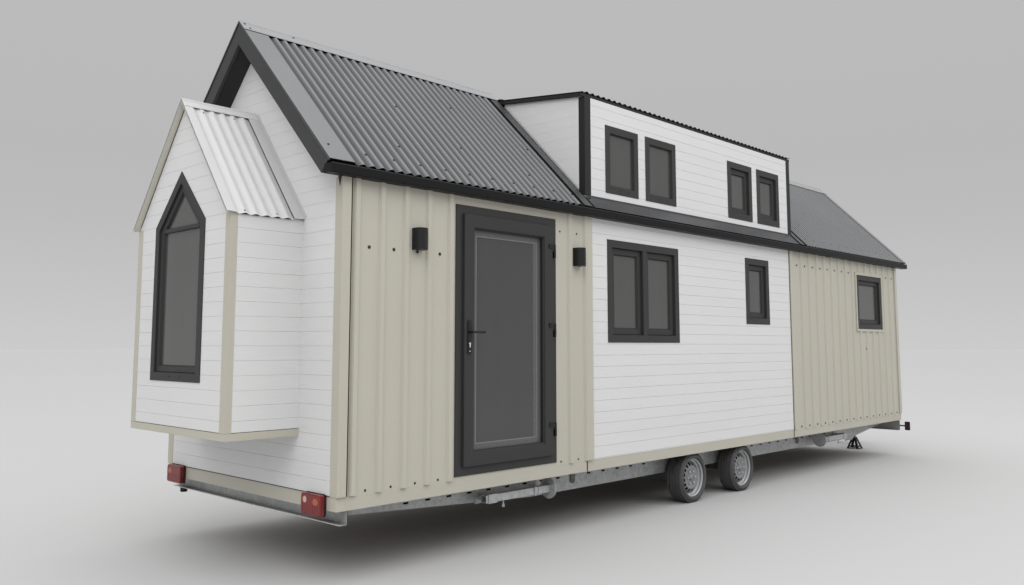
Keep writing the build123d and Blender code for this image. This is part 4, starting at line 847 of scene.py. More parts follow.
# ---- screws of the cladding -------------------------------------------------
# Self-drilling screws with a hexagon head and a sealing washer, left dark and
# driven through the pans near the foot and the head of each sheet.
screw_tree, screw_in, screw_out = new_tree("screws", [("Radius", "Float"), ("Steel", "Material")])
washer = step(screw_tree, "GeometryNodeMeshCylinder", {
    "Vertices": 12, "Radius": screw_in["Radius"],
    "Depth": maths(screw_tree, "MULTIPLY", screw_in["Radius"], 0.35)})
head = step(screw_tree, "GeometryNodeMeshCylinder", {
    "Vertices": 6, "Radius": maths(screw_tree, "MULTIPLY", screw_in["Radius"], 0.62),
    "Depth": maths(screw_tree, "MULTIPLY", screw_in["Radius"], 1.1)})
whole = step(screw_tree, "GeometryNodeJoinGeometry")
screw_tree.links.new(washer.outputs[0], whole.inputs[0])
screw_tree.links.new(head.outputs[0], whole.inputs[0])
driven = step(screw_tree, "GeometryNodeInstanceOnPoints", {0: screw_in[0], "Instance": whole.outputs[0]})
close_tree(screw_tree, driven.outputs[0], screw_out, screw_in["Steel"])
screw_steel = finish("dark_screws", tone(44, 42, 40), rough=0.4, shade=0.05, bump=0.05)


def screwed(spots, place, radius=0.0085):
    """Screws driven at (u, v) spots of a face, standing on its z = 0."""
    points = bpy.data.meshes.new("spots")
    points.from_pydata([(u, v, 0) for u, v in spots], [], [])
    mesh = grown(screw_tree, {"Radius": radius}, start=points)
    mesh.transform(place)
    return mesh


def face_on(wall):
    """Stands a flat layout, u along the wall and v up, face-on a wall, clear of its pans."""
    return wall @ Matrix.Translation((0, -0.003, 0)) @ Matrix.Rotation(math.pi / 2, 4, "X")


LOW_ROW, HIGH_ROW = 0.588, 2.490
LAMP_ROW = 2.198
rear_pans = [rear_x + x for x in (0.225, 0.436, 0.647, 0.858)]
door_pans = [rear_x + x for x in (2.196, 2.416)]
front_pans = [rear_x + 6.524 + FRONT_PITCH * k for k in range(15)]
near_face, far_face = face_on(near_wall), face_on(far_wall)
wall_screws = [
    screwed([(u, LOW_ROW) for u in rear_pans + door_pans] + [(u, HIGH_ROW) for u in door_pans], near_face),
    screwed([(u, LAMP_ROW) for u in rear_pans], near_face, 0.012),
    screwed([(u, LOW_ROW) for u in front_pans] + [(u, HIGH_ROW) for u in front_pans]
            + [(front_pans[4] + 0.12, 1.49), (front_pans[8] + 0.28, 1.49)], near_face, 0.0115),
    screwed([(-zone_rear + 0.26 + RIB_PITCH * k, v) for k in range(11) for v in (LOW_ROW, HIGH_ROW)], far_face),
    screwed([(-front_x + 0.226 + FRONT_PITCH * k, v) for k in range(14) for v in (LOW_ROW, HIGH_ROW)],
            far_face),
]
assembled("cladding_screws", wall_screws, screw_steel)

# ---- bay boards -------------------------------------------------------------
# The bay is boarded like the gable, its boards level with those behind, and
# cut round its pointed window.
bay_wall_top = bay_ridge - BAY_SHEET
bay_front_outline = [(-bay_high.y, bay_foot), (-bay_low.y, bay_foot), (-bay_low.y, bay_corner_z),
                     (-bay_mid, bay_wall_top), (-bay_high.y, bay_corner_z)]
frame_low, frame_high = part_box("bay_window_frame")
BAY_SHOULDER = 2.394
pointed = [(-frame_high.y, frame_low.z), (-frame_low.y, frame_low.z), (-frame_low.y, BAY_SHOULDER),
           (-(frame_low.y + frame_high.y) / 2, frame_high.z), (-frame_high.y, BAY_SHOULDER)]
bay_face = facing(-90, bay_low.x, 0)
bay_meshes = [
    boarded(bay_front_outline, [pointed], bay_face, FIRST_GABLE),
    boarded(rectangle(bay_low.x, rear_x, bay_foot, bay_corner_z), [], facing(0, 0, bay_low.y), FIRST_GABLE),
    boarded(rectangle(-rear_x, -bay_low.x, bay_foot, bay_corner_z), [], facing(180, 0, bay_high.y),
            FIRST_GABLE),
]
assembled("bay_boards", bay_meshes, board_paint)

# ---- dormer boards and dark trims -------------------------------------------
# Each long dormer is boarded like the walls below it, with a dark folded
# corner at each end.
wall_low, wall_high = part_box("dormer_front_walls")
roof_low, roof_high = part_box("dormer_roofs")
DORMER_PITCH = 6.6
DORMER_SLOPE = math.tan(math.radians(DORMER_PITCH))
DORMER_DEEP = 0.050 / math.cos(math.radians(DORMER_PITCH))
dormer_peak = roof_high.z + 0.0003
dormer_y = wall_low.y
dormer_foot = roof_ridge + dormer_y
dormer_head = dormer_peak + dormer_y * DORMER_SLOPE - DORMER_DEEP
FIRST_DORMER = 2.925
DORMER_BOARD = 0.0956
near_dormer = facing(0, 0, dormer_y)
far_dormer = facing(180, 0, -dormer_y)
front_face = rectangle(wall_low.x, wall_high.x, dormer_foot, dormer_head)
near_openings = [hole_of(box) for box in dormer_windows if box[0].y < 0]
far_openings = [hole_of(box, -1) for box in dormer_windows if box[0].y > 0]
cheek_in = (DORMER_DEEP + roof_ridge - dormer_peak) / (1 - DORMER_SLOPE)
near_cheek = [(dormer_y, dormer_foot), (-cheek_in, roof_ridge - cheek_in), (dormer_y, dormer_head)]
far_cheek = [(-y, z) for y, z in near_cheek]
CHEEK_JOINT = 0.0006
CHEEK_EDGE = 0.0002
dormer_meshes = [
    boarded(front_face, near_openings, near_dormer, FIRST_DORMER, DORMER_BOARD, SIDE_JOINT),
    boarded([(-x, z) for x, z in front_face], far_openings, far_dormer, FIRST_DORMER, DORMER_BOARD, SIDE_JOINT),
]
for outline in (near_cheek, far_cheek):
    for drawn, place in (([(-y, z) for y, z in outline], facing(-90, wall_low.x, 0)),
                         (outline, facing(90, wall_high.x, 0))):
        dormer_meshes.append(boarded(drawn, [], place, FIRST_DORMER, DORMER_BOARD, CHEEK_JOINT, CHEEK_EDGE))
assembled("dormer_boards", dormer_meshes, board_paint)

black_steel = coated("black_flashing", tone(36, 36, 37), 0.45, size=3.0, bump=0.06, fine=140.0, gloss=0.25)
dormer_coat = coated("dark_roof_steel", tone(52, 52, 53), shade=0.05, size=1.5, gloss=0.3)
dark_steel = coated("dark_flashing", tone(54, 54, 55), 0.42, size=3.0, bump=0.06, fine=140.0, gloss=0.3)
gutter_steel = coated("gutter_steel", tone(20, 20, 20), 0.45, 0.05, 3.0, 0.06, 140.0, gloss=0.15)
dress(dark_steel, "bargeboards")
FRONT_WING = 0.074
CHEEK_WING = 0.063
work = bmesh.new()
for way_x, corner_x in ((1, wall_low.x), (-1, wall_high.x)):
    for way_y, side_y in ((1, dormer_y), (-1, -dormer_y)):
        corner_fold(work, (corner_x, side_y), (way_x, way_y), (FRONT_WING, CHEEK_WING),
                    (BOARD_COVER, BOARD_COVER), dormer_foot, dormer_head)
fitted("dormer_corners", work, black_steel, ["dormer_corner_trims"])

# ---- gutters ----------------------------------------------------------------
# Box gutters folded from dark steel along both eaves, stopped at their ends,
# with a rolled bead along the outer lip.


def oval(u, v, wide, high, count=24):
    """A round or oval outline."""
    return [(u + wide * math.cos(2 * math.pi * k / count), v + high * math.sin(2 * math.pi * k / count))
            for k in range(count)]


GUTTER_LIP = 0.013
BEAD_RADIUS = 0.0035
gutter_low, gutter_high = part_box("gutters")
work = bmesh.new()
outer, inner, foot, lip = gutter_high.y, far_y + 0.001, gutter_low.z, gutter_high.z - GUTTER_LIP
channel = [(inner, foot), (outer - 0.005, foot), (outer, foot + 0.005), (outer, lip - 0.004),
           (outer - 0.004, lip), (outer - 0.011, lip), (outer - 0.011, lip - 0.009), (outer - 0.0035, lip - 0.011),
           (outer - 0.0035, foot + 0.004), (inner + 0.003, foot + 0.004), (inner + 0.003, lip), (inner, lip)]
gutter_end = [(inner, foot), (outer - 0.005, foot), (outer, foot + 0.005), (outer, lip), (inner, lip)]
for side in (-1, 1):
    prism(work, [(side * y, z) for y, z in channel], "X", gutter_low.x + 0.001, gutter_high.x - 0.001)
    for x in (gutter_low.x, gutter_high.x - 0.002):
        prism(work, [(side * y, z) for y, z in gutter_end], "X", x, x + 0.002)
fitted("gutter_channels", work, gutter_steel, ["gutters"], 0.0008)
work = bmesh.new()
for side in (-1, 1):
    bead = [(side * y, z) for y, z in oval(outer - 0.006, lip, BEAD_RADIUS, BEAD_RADIUS, 12)]
    prism(work, bead, "X", gutter_low.x + 0.003, gutter_high.x - 0.003)
put("gutter_beads", settle(work, "gutter_beads"), [dark_steel], "house")

# ---- corrugated roofs -------------------------------------------------------
# Grey corrugated steel on the main and dormer roofs, white on the bay, laid
# from eave to ridge and fixed with dark screws through the crests.
WAVE = 0.081
WAVE_DEPTH = 0.018
WAVE_ANGLE = math.radians(50)
FIRST_CREST = rear_x + 0.041
wave_tree, wave_in, wave_out = new_tree("corrugated_sheet", [
    ("Length", "Float"), ("Slope", "Float"), ("Pitch", "Float"), ("Crest", "Float"), ("Depth", "Float"),
    ("Coat", "Material")])
waves = maths(wave_tree, "DIVIDE", wave_in["Length"], wave_in["Pitch"])
wave_steps = maths(wave_tree, "MULTIPLY_ADD", waves, 12.0, 2.0)
wave_grid = step(wave_tree, "GeometryNodeMeshGrid", {"Size X": wave_in["Length"], "Size Y": wave_in["Slope"],
                                                     "Vertices X": wave_steps, "Vertices Y": 2})
wave_place = step(wave_tree, "GeometryNodeInputPosition")
wave_xyz = step(wave_tree, "ShaderNodeSeparateXYZ", {0: wave_place.outputs[0]})
half_length = maths(wave_tree, "MULTIPLY", wave_in["Length"], 0.5)
from_start = maths(wave_tree, "ADD", wave_xyz.outputs["X"], half_length)
from_crest = maths(wave_tree, "SUBTRACT", from_start, wave_in["Crest"])
wave_turn = maths(wave_tree, "MULTIPLY", maths(wave_tree, "DIVIDE", from_crest, wave_in["Pitch"]), 2 * math.pi)
below_crest = maths(wave_tree, "SUBTRACT", maths(wave_tree, "COSINE", wave_turn), 1.0)
wave_drop = maths(wave_tree, "MULTIPLY", below_crest, maths(wave_tree, "MULTIPLY", wave_in["Depth"], 0.5))
half_slope = maths(wave_tree, "MULTIPLY", wave_in["Slope"], 0.5)
rolled = step(wave_tree, "ShaderNodeCombineXYZ", {0: half_length, 1: half_slope, 2: wave_drop})
waved = step(wave_tree, "GeometryNodeSetPosition", {0: wave_grid.outputs[0], "Offset": rolled.outputs[0]})
close_tree(wave_tree, waved.outputs[0], wave_out, wave_in["Coat"])


def trough_shaded_waves(name, crest, trough_shade, pitch, first, **settings):
    """Coated sheet with painted shade in its troughs: along X its colour darkens from each crest to the trough."""
    made = finish(name, crest, **settings)
    tree = made.node_tree
    place = step(tree, "ShaderNodeTexCoord")
    axes = step(tree, "ShaderNodeSeparateXYZ", {0: place.outputs["Object"]})
    turns = maths(tree, "MULTIPLY", maths(tree, "SUBTRACT", axes.outputs["X"], first), 2 * math.pi / pitch)
    high_share = step(tree, "ShaderNodeMapRange", {0: maths(tree, "COSINE", turns), 1: -1.0})
    narrow = maths(tree, "POWER", high_share.outputs[0], 2.0)
    share = step(tree, "ShaderNodeMix", {0: narrow, 6: (trough_shade, trough_shade, trough_shade, 1), 7: (1, 1, 1, 1)},
                 data_type="RGBA")
    return tinted(made, share.outputs[2])


# The grey roof sheet: painted shade takes its troughs down to a third of the crest colour.
roof_coat = trough_shaded_waves("grey_roof_steel", tone(136, 137, 139), 0.33, WAVE, FIRST_CREST, rough=0.36,
                            shade=0.05, size=1.5, bump=0.05, fine=120.0, metal=0.25)


def on_slope(x, y, z, pitch_degrees, turn_degrees):
    """Stands a sheet drawn flat, x along the eave and y up the slope, on a roof slope."""
    return (Matrix.Translation((x, y, z)) @ Matrix.Rotation(math.radians(turn_degrees), 4, "Z")
            @ Matrix.Rotation(math.radians(pitch_degrees), 4, "X"))


def set_out(x0, x1, eave_y, eave_z, pitch_degrees, wave, crest):
    """Where the first crest comes on a slope drawn from its left end, and the slope's place."""
    if eave_y < 0:
        return (crest - x0) % wave, on_slope(x0, eave_y, eave_z, pitch_degrees, 0)
    return (x1 - crest) % wave, on_slope(x1, eave_y, eave_z, pitch_degrees, 180)


def corrugated(x0, x1, slope, eave_y, eave_z, pitch_degrees, wave=WAVE, crest=FIRST_CREST, depth=WAVE_DEPTH):
    """One slope's sheet from x0 to x1, its crests in step with a crest at a given x."""
    first, place = set_out(x0, x1, eave_y, eave_z, pitch_degrees, wave, crest)
    mesh = grown(wave_tree, {"Length": x1 - x0, "Slope": slope, "Pitch": wave, "Crest": first, "Depth": depth},
                 thickness=0.001)
    mesh.transform(place @ Matrix.Translation((0, 0, -0.0006)))
    return mesh


sheet_low, sheet_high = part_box("roof_sheets")
main_slope = (sheet_high.y - 0.004) * math.sqrt(2)
eave_z = roof_ridge - sheet_high.y
VALLEY = 0.190
main_sheets = []
for x0, x1 in ((sheet_low.x, wall_low.x - VALLEY), (wall_high.x + VALLEY, sheet_high.x)):
    for side_y in (sheet_low.y, sheet_high.y):
        main_sheets.append(corrugated(x0, x1, main_slope, side_y, eave_z, 45))
assembled("main_roof_sheets", main_sheets, roof_coat, ["roof_sheets"], WAVE_ANGLE)

# Dark lining boards close the corner between each gable and its overhanging
# eaves.
LINING = 0.045
LINING_OUT = 0.95
LINING_GAP = 0.0065
lining_top = roof_ridge - UNDER_ROOF
lining_foot = roof_ridge - (ROOF_THICK + LINING) * math.sqrt(2)
work = bmesh.new()
for x0, x1 in ((rear_x - 0.119, rear_x - LINING_GAP), (front_x + LINING_GAP, front_x + 0.249)):
    for side in (-1, 1):
        faces = prism(work, [(0, lining_top), (side * LINING_OUT, lining_top - LINING_OUT),
                             (side * LINING_OUT, lining_foot - LINING_OUT), (0, lining_foot)], "X", x0, x1)
        eaves_end = x0 if x0 < rear_x else x1
        # The lining tapers to a thin edge behind the bargeboard.
        for vert in {vert for face in faces for vert in face.verts}:
            lower_edge = lining_foot - abs(vert.co.y)
            if abs(vert.co.x - eaves_end) < 1e-6 and abs(vert.co.z - lower_edge) < 1e-6:
                vert.co.z += LINING * math.sqrt(2) - 0.004
fitted("gable_linings", work, roof_board)

# Foam plugs shaped to the waves close the sheets' ends under every crest; near black, they are also painted shade
# in those hollows.
PLUG_HALF = 0.030
plug_tree, plug_in, plug_out = new_tree("crest_plugs", [
    ("Plug", "Object"), ("First", "Float"), ("Pitch", "Float"), ("Count", "Int"), ("Foam", "Material")])
plug_start = step(plug_tree, "ShaderNodeCombineXYZ", {0: plug_in["First"]})
plug_offset = step(plug_tree, "ShaderNodeCombineXYZ", {0: plug_in["Pitch"]})
plug_row = step(plug_tree, "GeometryNodeMeshLine", {"Count": plug_in["Count"],
                                                    "Start Location": plug_start.outputs[0],
                                                    "Offset": plug_offset.outputs[0]}, mode="OFFSET")
plug_shape = step(plug_tree, "GeometryNodeObjectInfo", {"Object": plug_in["Plug"]})
plugs = step(plug_tree, "GeometryNodeInstanceOnPoints", {0: plug_row.outputs[0],
                                                         "Instance": plug_shape.outputs["Geometry"]})
close_tree(plug_tree, plugs.outputs[0], plug_out, plug_in["Foam"])
foam_and_shade = finish("closer_foam_and_shade", tone(9, 9, 9), rough=0.9, shade=0.05, bump=0.3, gloss=0.1)


def plugged(x0, x1, eave_y, eave_z, pitch_degrees, wave=WAVE, crest=FIRST_CREST, depth=WAVE_DEPTH):
    """Plugs under the crests between x0 and x1, at one slope's eave."""
    first, place = set_out(x0, x1, eave_y, eave_z, pitch_degrees, wave, crest)
    outline = []
    for k in range(9):
        u = PLUG_HALF * (k / 4 - 1)
        outline.append((u, -depth / 2 * (1 - math.cos(2 * math.pi * u / wave)) - 0.0018))
    outline += [(PLUG_HALF, -depth - 0.0015), (-PLUG_HALF, -depth - 0.0015)]
    mesh = grown_with(plug_tree, "Plug", prisms("plug", [outline], 0.0006, 0.0080),
                      {"First": first, "Pitch": wave, "Count": math.floor((x1 - x0 - first) / wave) + 1})
    mesh.transform(place)
    return mesh


plug_rows = []
for x0, x1 in ((sheet_low.x + 0.22, wall_low.x - VALLEY - 0.01), (wall_high.x + VALLEY, sheet_high.x - 0.12)):
    for side_y in (sheet_low.y, sheet_high.y):
        plug_rows.append(plugged(x0, x1, side_y, eave_z, 45))
assembled("eave_plugs", plug_rows, foam_and_shade)

DORMER_TIP = 0.012
dormer_cos = math.cos(math.radians(DORMER_PITCH))
dormer_slope_length = roof_high.y / dormer_cos
dormer_eave_z = dormer_peak - roof_high.y * DORMER_SLOPE
dormer_sheets = [corrugated(roof_low.x, roof_high.x, dormer_slope_length - 0.004, side_y, dormer_eave_z,
                            DORMER_PITCH) for side_y in (roof_low.y, roof_high.y)]
FASCIA_GAP = 0.0015
fascia_top = dormer_peak - 0.020 / dormer_cos
fascia_foot = dormer_peak - DORMER_DEEP
fascia_out = roof_high.y - DORMER_TIP
work = bmesh.new()
for way in (-1, 1):
    prism(work, [(way * fascia_out, fascia_top - fascia_out * DORMER_SLOPE),
                 (way * FASCIA_GAP, fascia_top - FASCIA_GAP * DORMER_SLOPE), (way * FASCIA_GAP, fascia_foot),
                 (way * fascia_out, fascia_foot - fascia_out * DORMER_SLOPE)], "X", roof_low.x, roof_high.x)
fitted("dormer_fascias", work, black_steel)
assembled("dormer_roof_sheets", dormer_sheets, dormer_coat, ["dormer_roofs"], WAVE_ANGLE)

BAY_WAVE = 0.0795
BAY_CREST = rear_x - 0.138
BAY_WAVE_DEPTH = 0.013
bay_waves = (BAY_PITCH, BAY_WAVE, BAY_CREST, BAY_WAVE_DEPTH)
# The white bay sheet: faint painted shade in its troughs.
bay_coat = trough_shaded_waves("white_roof_steel", tone(199, 199, 199), 0.96, BAY_WAVE, BAY_CREST, rough=0.36,
                           shade=0.02, size=1.5, bump=0.05, fine=120.0)
bay_half = bay_mid - bay_roof_low.y
bay_slope_length = bay_half / math.cos(bay_tilt) - 0.003
bay_eaves = (bay_roof_low.y, bay_roof_high.y)
bay_sheets = [corrugated(bay_roof_low.x + 0.001, rear_x, bay_slope_length, side_y, bay_eave_z, *bay_waves)
              for side_y in bay_eaves]


def under_bay_roof(y_in, deep):
    """Height at a distance from the ridge, a given depth square below the sheet."""
    return bay_ridge - y_in * BAY_SLOPE - deep / math.cos(bay_tilt)


# A thin lining under the sheets, and a dark strip of painted shadow where it meets the boards.
LINING_GAUGE = 0.003
soffit = BAY_WAVE_DEPTH + 0.002
depths = (soffit, soffit + LINING_GAUGE)
(top_y, top_z), (foot_y, foot_z) = [(y_in, under_bay_roof(y_in, deep)) for y_in, deep in
                                    ((bay_half - 0.004 - deep * math.sin(bay_tilt), deep) for deep in depths)]
bay_lining = [(bay_mid - top_y, top_z), (bay_mid, under_bay_roof(0, depths[0])), (bay_mid + top_y, top_z),
              (bay_mid + foot_y, foot_z), (bay_mid, under_bay_roof(0, depths[1])), (bay_mid - foot_y, foot_z)]
work = bmesh.new()
prism(work, bay_lining, "X", bay_roof_low.x + 0.003, rear_x)
bay_edge_coat = finish("bay_edge_flashing", tone(200, 196, 184), rough=0.45, shade=0.03, size=2.0, bump=0.05)
fitted("bay_roof_lining", work, bay_edge_coat, edge=0.0005)
work = bmesh.new()
depths = (soffit + 0.0035, soffit + 0.0105)
top_y, foot_y = (bay_half - 0.030 - deep * math.sin(bay_tilt) for deep in depths)
for side in (-1, 1):
    prism(work, [(bay_mid, under_bay_roof(0, depths[0])),
                 (bay_mid + side * top_y, under_bay_roof(top_y, depths[0])),
                 (bay_mid + side * foot_y, under_bay_roof(foot_y, depths[1])),
                 (bay_mid, under_bay_roof(0, depths[1]))], "X", bay_low.x - 0.0082, bay_low.x - 0.001)
fitted("bay_verge_seam", work, seam_shadow_paint, edge=0.0003)
assembled("bay_eave_plugs", [plugged(bay_roof_low.x + 0.07, rear_x - 0.10, side_y, bay_eave_z, *bay_waves)
                             for side_y in bay_eaves], foam_and_shade)
assembled("bay_roof_sheets", bay_sheets, bay_coat, ["bay_roof"], WAVE_ANGLE)

# ---- ridge caps, verges and flashings ---------------------------------------
# Light grey folded steel: rolled caps over the ridges, wide flat strips down
# the open edges of the sheets, and a flat apron below each dormer wall.
light_steel = coated("light_flashing", tone(156, 157, 159), 0.38, metal=0.2)
verge_steel = coated("verge_flashing", tone(130, 131, 132), 0.38, metal=0.2)
white_steel = coated("white_flashing", tone(194, 194, 194), shade=0.02)
CAP_GAUGE = 0.0025


def cap_outline(middle, top, wing, slope, roll=0.016):
    """A rolled ridge cap's closed (y, z) outline, its wings hemmed at their lower edges."""
    tilt = math.atan(slope)
    reach = wing * math.cos(tilt)
    outer = [(-reach, -reach * slope), (-reach - 0.002, -reach * slope + 0.004)]
    bend = roll * math.sin(tilt) * 1.5
    outer.append((-bend, -bend * slope + CAP_GAUGE))
    for k in range(7):
        angle = math.pi * (k / 6)
        outer.append((-bend * 0.9 * math.cos(angle), -bend * slope * (1 - math.sin(angle)) * 0.9 + CAP_GAUGE))
    outer.append((bend, -bend * slope + CAP_GAUGE))
    outer += [(reach + 0.002, -reach * slope + 0.004), (reach, -reach * slope)]
    inner = [(bend, -bend * slope - 0.0005), (0, -bend * slope * 0.2 - 0.0005), (-bend, -bend * slope - 0.0005)]
    return [(middle + y, top + z) for y, z in outer + inner]


MAIN_WING = 0.120
BAY_WING = 0.085
DORMER_END = 0.012
work = bmesh.new()
cap_top = cad_high.z - 0.0035
for x0, x1 in ((sheet_low.x, roof_low.x - DORMER_END), (roof_high.x + DORMER_END, sheet_high.x)):
    prism(work, cap_outline(0, cap_top, MAIN_WING, 1.0), "X", x0, x1)
prism(work, cap_outline(0, dormer_peak + 0.0008, MAIN_WING, DORMER_SLOPE), "X", roof_low.x, roof_high.x)
fitted("main_ridge_caps", work, light_steel, ["ridge_caps"], 0.0008, angle=WAVE_ANGLE)
work = bmesh.new()
prism(work, cap_outline(bay_mid, bay_ridge + 0.0015, BAY_WING, BAY_SLOPE), "X", bay_roof_low.x, rear_x)
fitted("bay_ridge_cap", work, white_steel, edge=0.0008, angle=WAVE_ANGLE)

# Each slope: which way its drawings run along the house, and its place.
main_slopes = [(1, on_slope(0, -sheet_high.y, eave_z, 45, 0)), (-1, on_slope(0, sheet_high.y, eave_z, 45, 180))]
bay_slopes = [(1, on_slope(0, bay_roof_low.y, bay_eave_z, BAY_PITCH, 0)),
              (-1, on_slope(0, bay_roof_high.y, bay_eave_z, BAY_PITCH, 180))]


def moved(bm, faces, place):
    """Moves the blocks just made, drawn flat or face-on, to their place."""
    bmesh.ops.transform(bm, matrix=place, verts=list({vert for face in faces for vert in face.verts}))


def strip_on_slope(bm, slope, x0, x1, foot, head, drop, gauge):
    """A flat strip lying on a slope: from foot to head up the slope, drop below the crests."""
    flip, place = slope
    left, right = sorted((flip * x0, flip * x1))
    moved(bm, prism(bm, rectangle(left, right, foot, head), "Z", -drop, -drop + gauge), place)


VERGE_REAR = 0.199
VERGE_FRONT = 0.110
TRAY_DOWN = 0.017
COVER_FROM, COVER_TO = 0.042, 0.146
CLOSER = 0.014
STRIP_END = 0.004
# Near-black trays under the valley covers: painted shade in the grooves beside the sheets' cut ends and at the
# cheeks' foot.
tray_painted_shade = finish("valley_tray", tone(30, 30, 31), rough=0.5, shade=0.04, bump=0.06, gloss=0.2)
cover_steel = coated("valley_cover", tone(64, 65, 66), 0.42)
work, tray_work, cover_work, foam_work = bmesh.new(), bmesh.new(), bmesh.new(), bmesh.new()
verges = ((sheet_low.x, sheet_low.x + VERGE_REAR), (sheet_high.x - VERGE_FRONT, sheet_high.x))
open_waves = ((verges[0][1], wall_low.x - VALLEY), (wall_high.x + VALLEY, verges[1][0]))
cap_foot = main_slope - MAIN_WING
for slope in main_slopes:
    for x0, x1 in verges:
        strip_on_slope(work, slope, x0, x1, STRIP_END, main_slope - STRIP_END, -0.0002, 0.0016)
    for edge_x, out in ((wall_low.x, -1), (wall_high.x, 1)):
        strip_on_slope(tray_work, slope, edge_x + out * 0.001, edge_x + out * (VALLEY + 0.004), STRIP_END,
                       main_slope - 0.10, TRAY_DOWN, 0.002)
        strip_on_slope(cover_work, slope, edge_x + out * COVER_FROM, edge_x + out * COVER_TO, STRIP_END,
                       main_slope - 0.10, 0.006, 0.002)
    # Foam fills the waves under the verges' feet, at the caps' feet and under the caps, near black as painted
    # shade in those hollows.
    for x0, x1 in ((verges[0][0] + STRIP_END, verges[0][1]), (verges[1][0], verges[1][1] - STRIP_END)):
        strip_on_slope(foam_work, slope, x0, x1, -0.0015, 0.006, WAVE_DEPTH, WAVE_DEPTH - 0.0006)
        strip_on_slope(foam_work, slope, x0, x1, cap_foot - 0.006, cap_foot + 0.004, -0.0012, 0.0012)
    for x0, x1 in open_waves:
        strip_on_slope(foam_work, slope, x0, x1, cap_foot + 0.006, cap_foot + 0.006 + CLOSER, WAVE_DEPTH,
                       WAVE_DEPTH - 0.0012)
fitted("verge_strips", work, verge_steel, edge=0.0005)
fitted("valley_trays", tray_work, tray_painted_shade, edge=0.0005)
fitted("valley_covers", cover_work, cover_steel, edge=0.0005)
fitted("ridge_closers", foam_work, foam_and_shade, edge=0.0003)

# The bay roof: a flat verge, and a flat strip against the gable with its
# upstand, and along its edge a black strip of painted shadow.
BAY_VERGE = 0.065
STRIP_NEAR, STRIP_FAR = 0.008, 0.090
UPSTAND = 0.030
BAY_STRIP_END = 0.002
grey_strip = coated("wall_strip", tone(182, 183, 182), shade=0.02)
work, strip_work, shadow_line_work = bmesh.new(), bmesh.new(), bmesh.new()
strip_head, seal_head = bay_slope_length - BAY_STRIP_END, bay_slope_length - 0.030
for slope in bay_slopes:
    for bm, x0, x1, head, drop, gauge in (
            (work, bay_roof_low.x, bay_roof_low.x + BAY_VERGE, strip_head, -0.0002, 0.0014),
            (strip_work, rear_x - STRIP_NEAR, rear_x - STRIP_FAR, strip_head, -0.0002, 0.0014),
            (strip_work, rear_x - 0.0085, rear_x - 0.0070, seal_head, -0.0002, UPSTAND),
            (shadow_line_work, rear_x - STRIP_FAR, rear_x - STRIP_FAR - 0.007, seal_head, 0.0002, 0.0010)):
        strip_on_slope(bm, slope, x0, x1, BAY_STRIP_END, head, drop, gauge)
fitted("bay_verge_strips", work, white_steel, edge=0.0004)
fitted("bay_strip_seals", shadow_line_work, foam_and_shade, edge=0.0002)
fitted("bay_wall_strips", strip_work, grey_strip, edge=0.0004)

# An apron runs from the gutter to each dormer's front and turns up behind its
# lowest board.
apron_coat = coated("apron_flashing", tone(59, 60, 62))
apron_head = (sheet_high.y + dormer_y) * math.sqrt(2)
APRON_GAUGE = 0.004
work = bmesh.new()
for side, slope in zip((-1, 1), main_slopes):
    strip_on_slope(work, slope, wall_low.x, wall_high.x, 0.0, apron_head, 0.012, APRON_GAUGE)
    upturn = [(-side * (dormer_y - out), dormer_foot + up) for out, up in (
        (0, -0.016), (0, 0.020), (APRON_GAUGE, 0.020), (APRON_GAUGE, -0.016))]
    prism(work, upturn, "X", wall_low.x, wall_high.x)
fitted("dormer_aprons", work, apron_coat, edge=0.001)

# Roof screws: through the crests near the eave and, few and far between,
# higher up; a pair holds each end of the caps.
CREST_ROW = 0.130


def on_crests(*spots):
    """Screw spots given as (crest, how far up the slope)."""
    return [(FIRST_CREST + crest * WAVE, v) for crest, v in spots]


rear_spots = on_crests(*((crest, CREST_ROW) for crest in range(2, 34, 3)))
rear_spots += on_crests((7, 0.34), (16, 0.52), (24, 0.31), (11, 0.98), (20, 1.21), (28, 0.77))
front_spots = on_crests(*((crest, CREST_ROW) for crest in range(84, 120, 3)))
front_spots += on_crests((88, 0.46), (97, 0.83), (108, 0.38))
cap_spots = [(sheet_low.x + x, v) for x, v in ((0.035, main_slope - 0.030), (0.060, main_slope - 0.085),
                                               (0.46, main_slope - 0.030), (0.065, 0.17))]
bay_spots = [(BAY_CREST - k * BAY_WAVE, v) for k in (1, 4) for v in (0.024, bay_slope_length - 0.12)]
roof_screws = []
for flip, place in main_slopes:
    for spots, radius, up in ((rear_spots, 0.0098, 0), (front_spots, 0.0072, 0), (cap_spots, 0.0085, 0.0035)):
        roof_screws.append(screwed([(flip * u, v) for u, v in spots], place @ Matrix.Translation((0, 0, up)),
                                   radius))
for flip, place in bay_slopes:
    roof_screws.append(screwed([(flip * u, v) for u, v in bay_spots], place, 0.0055))
assembled("roof_screws", roof_screws, screw_steel)

# A cut corner of black flashing hangs from the gutter's end at each rear corner.
work = bmesh.new()
for side in (-1, 1):
    tab = [(side * (far_y + out), gutter_foot + up) for out, up in (
        (0.006, 0.004), (-0.034, 0.004), (-0.022, -0.030), (-0.012, -0.062))]
    prism(work, tab, "X", rear_x - 0.0125, rear_x - 0.0105)
fitted("corner_tabs", work, black_steel, edge=0.0003)

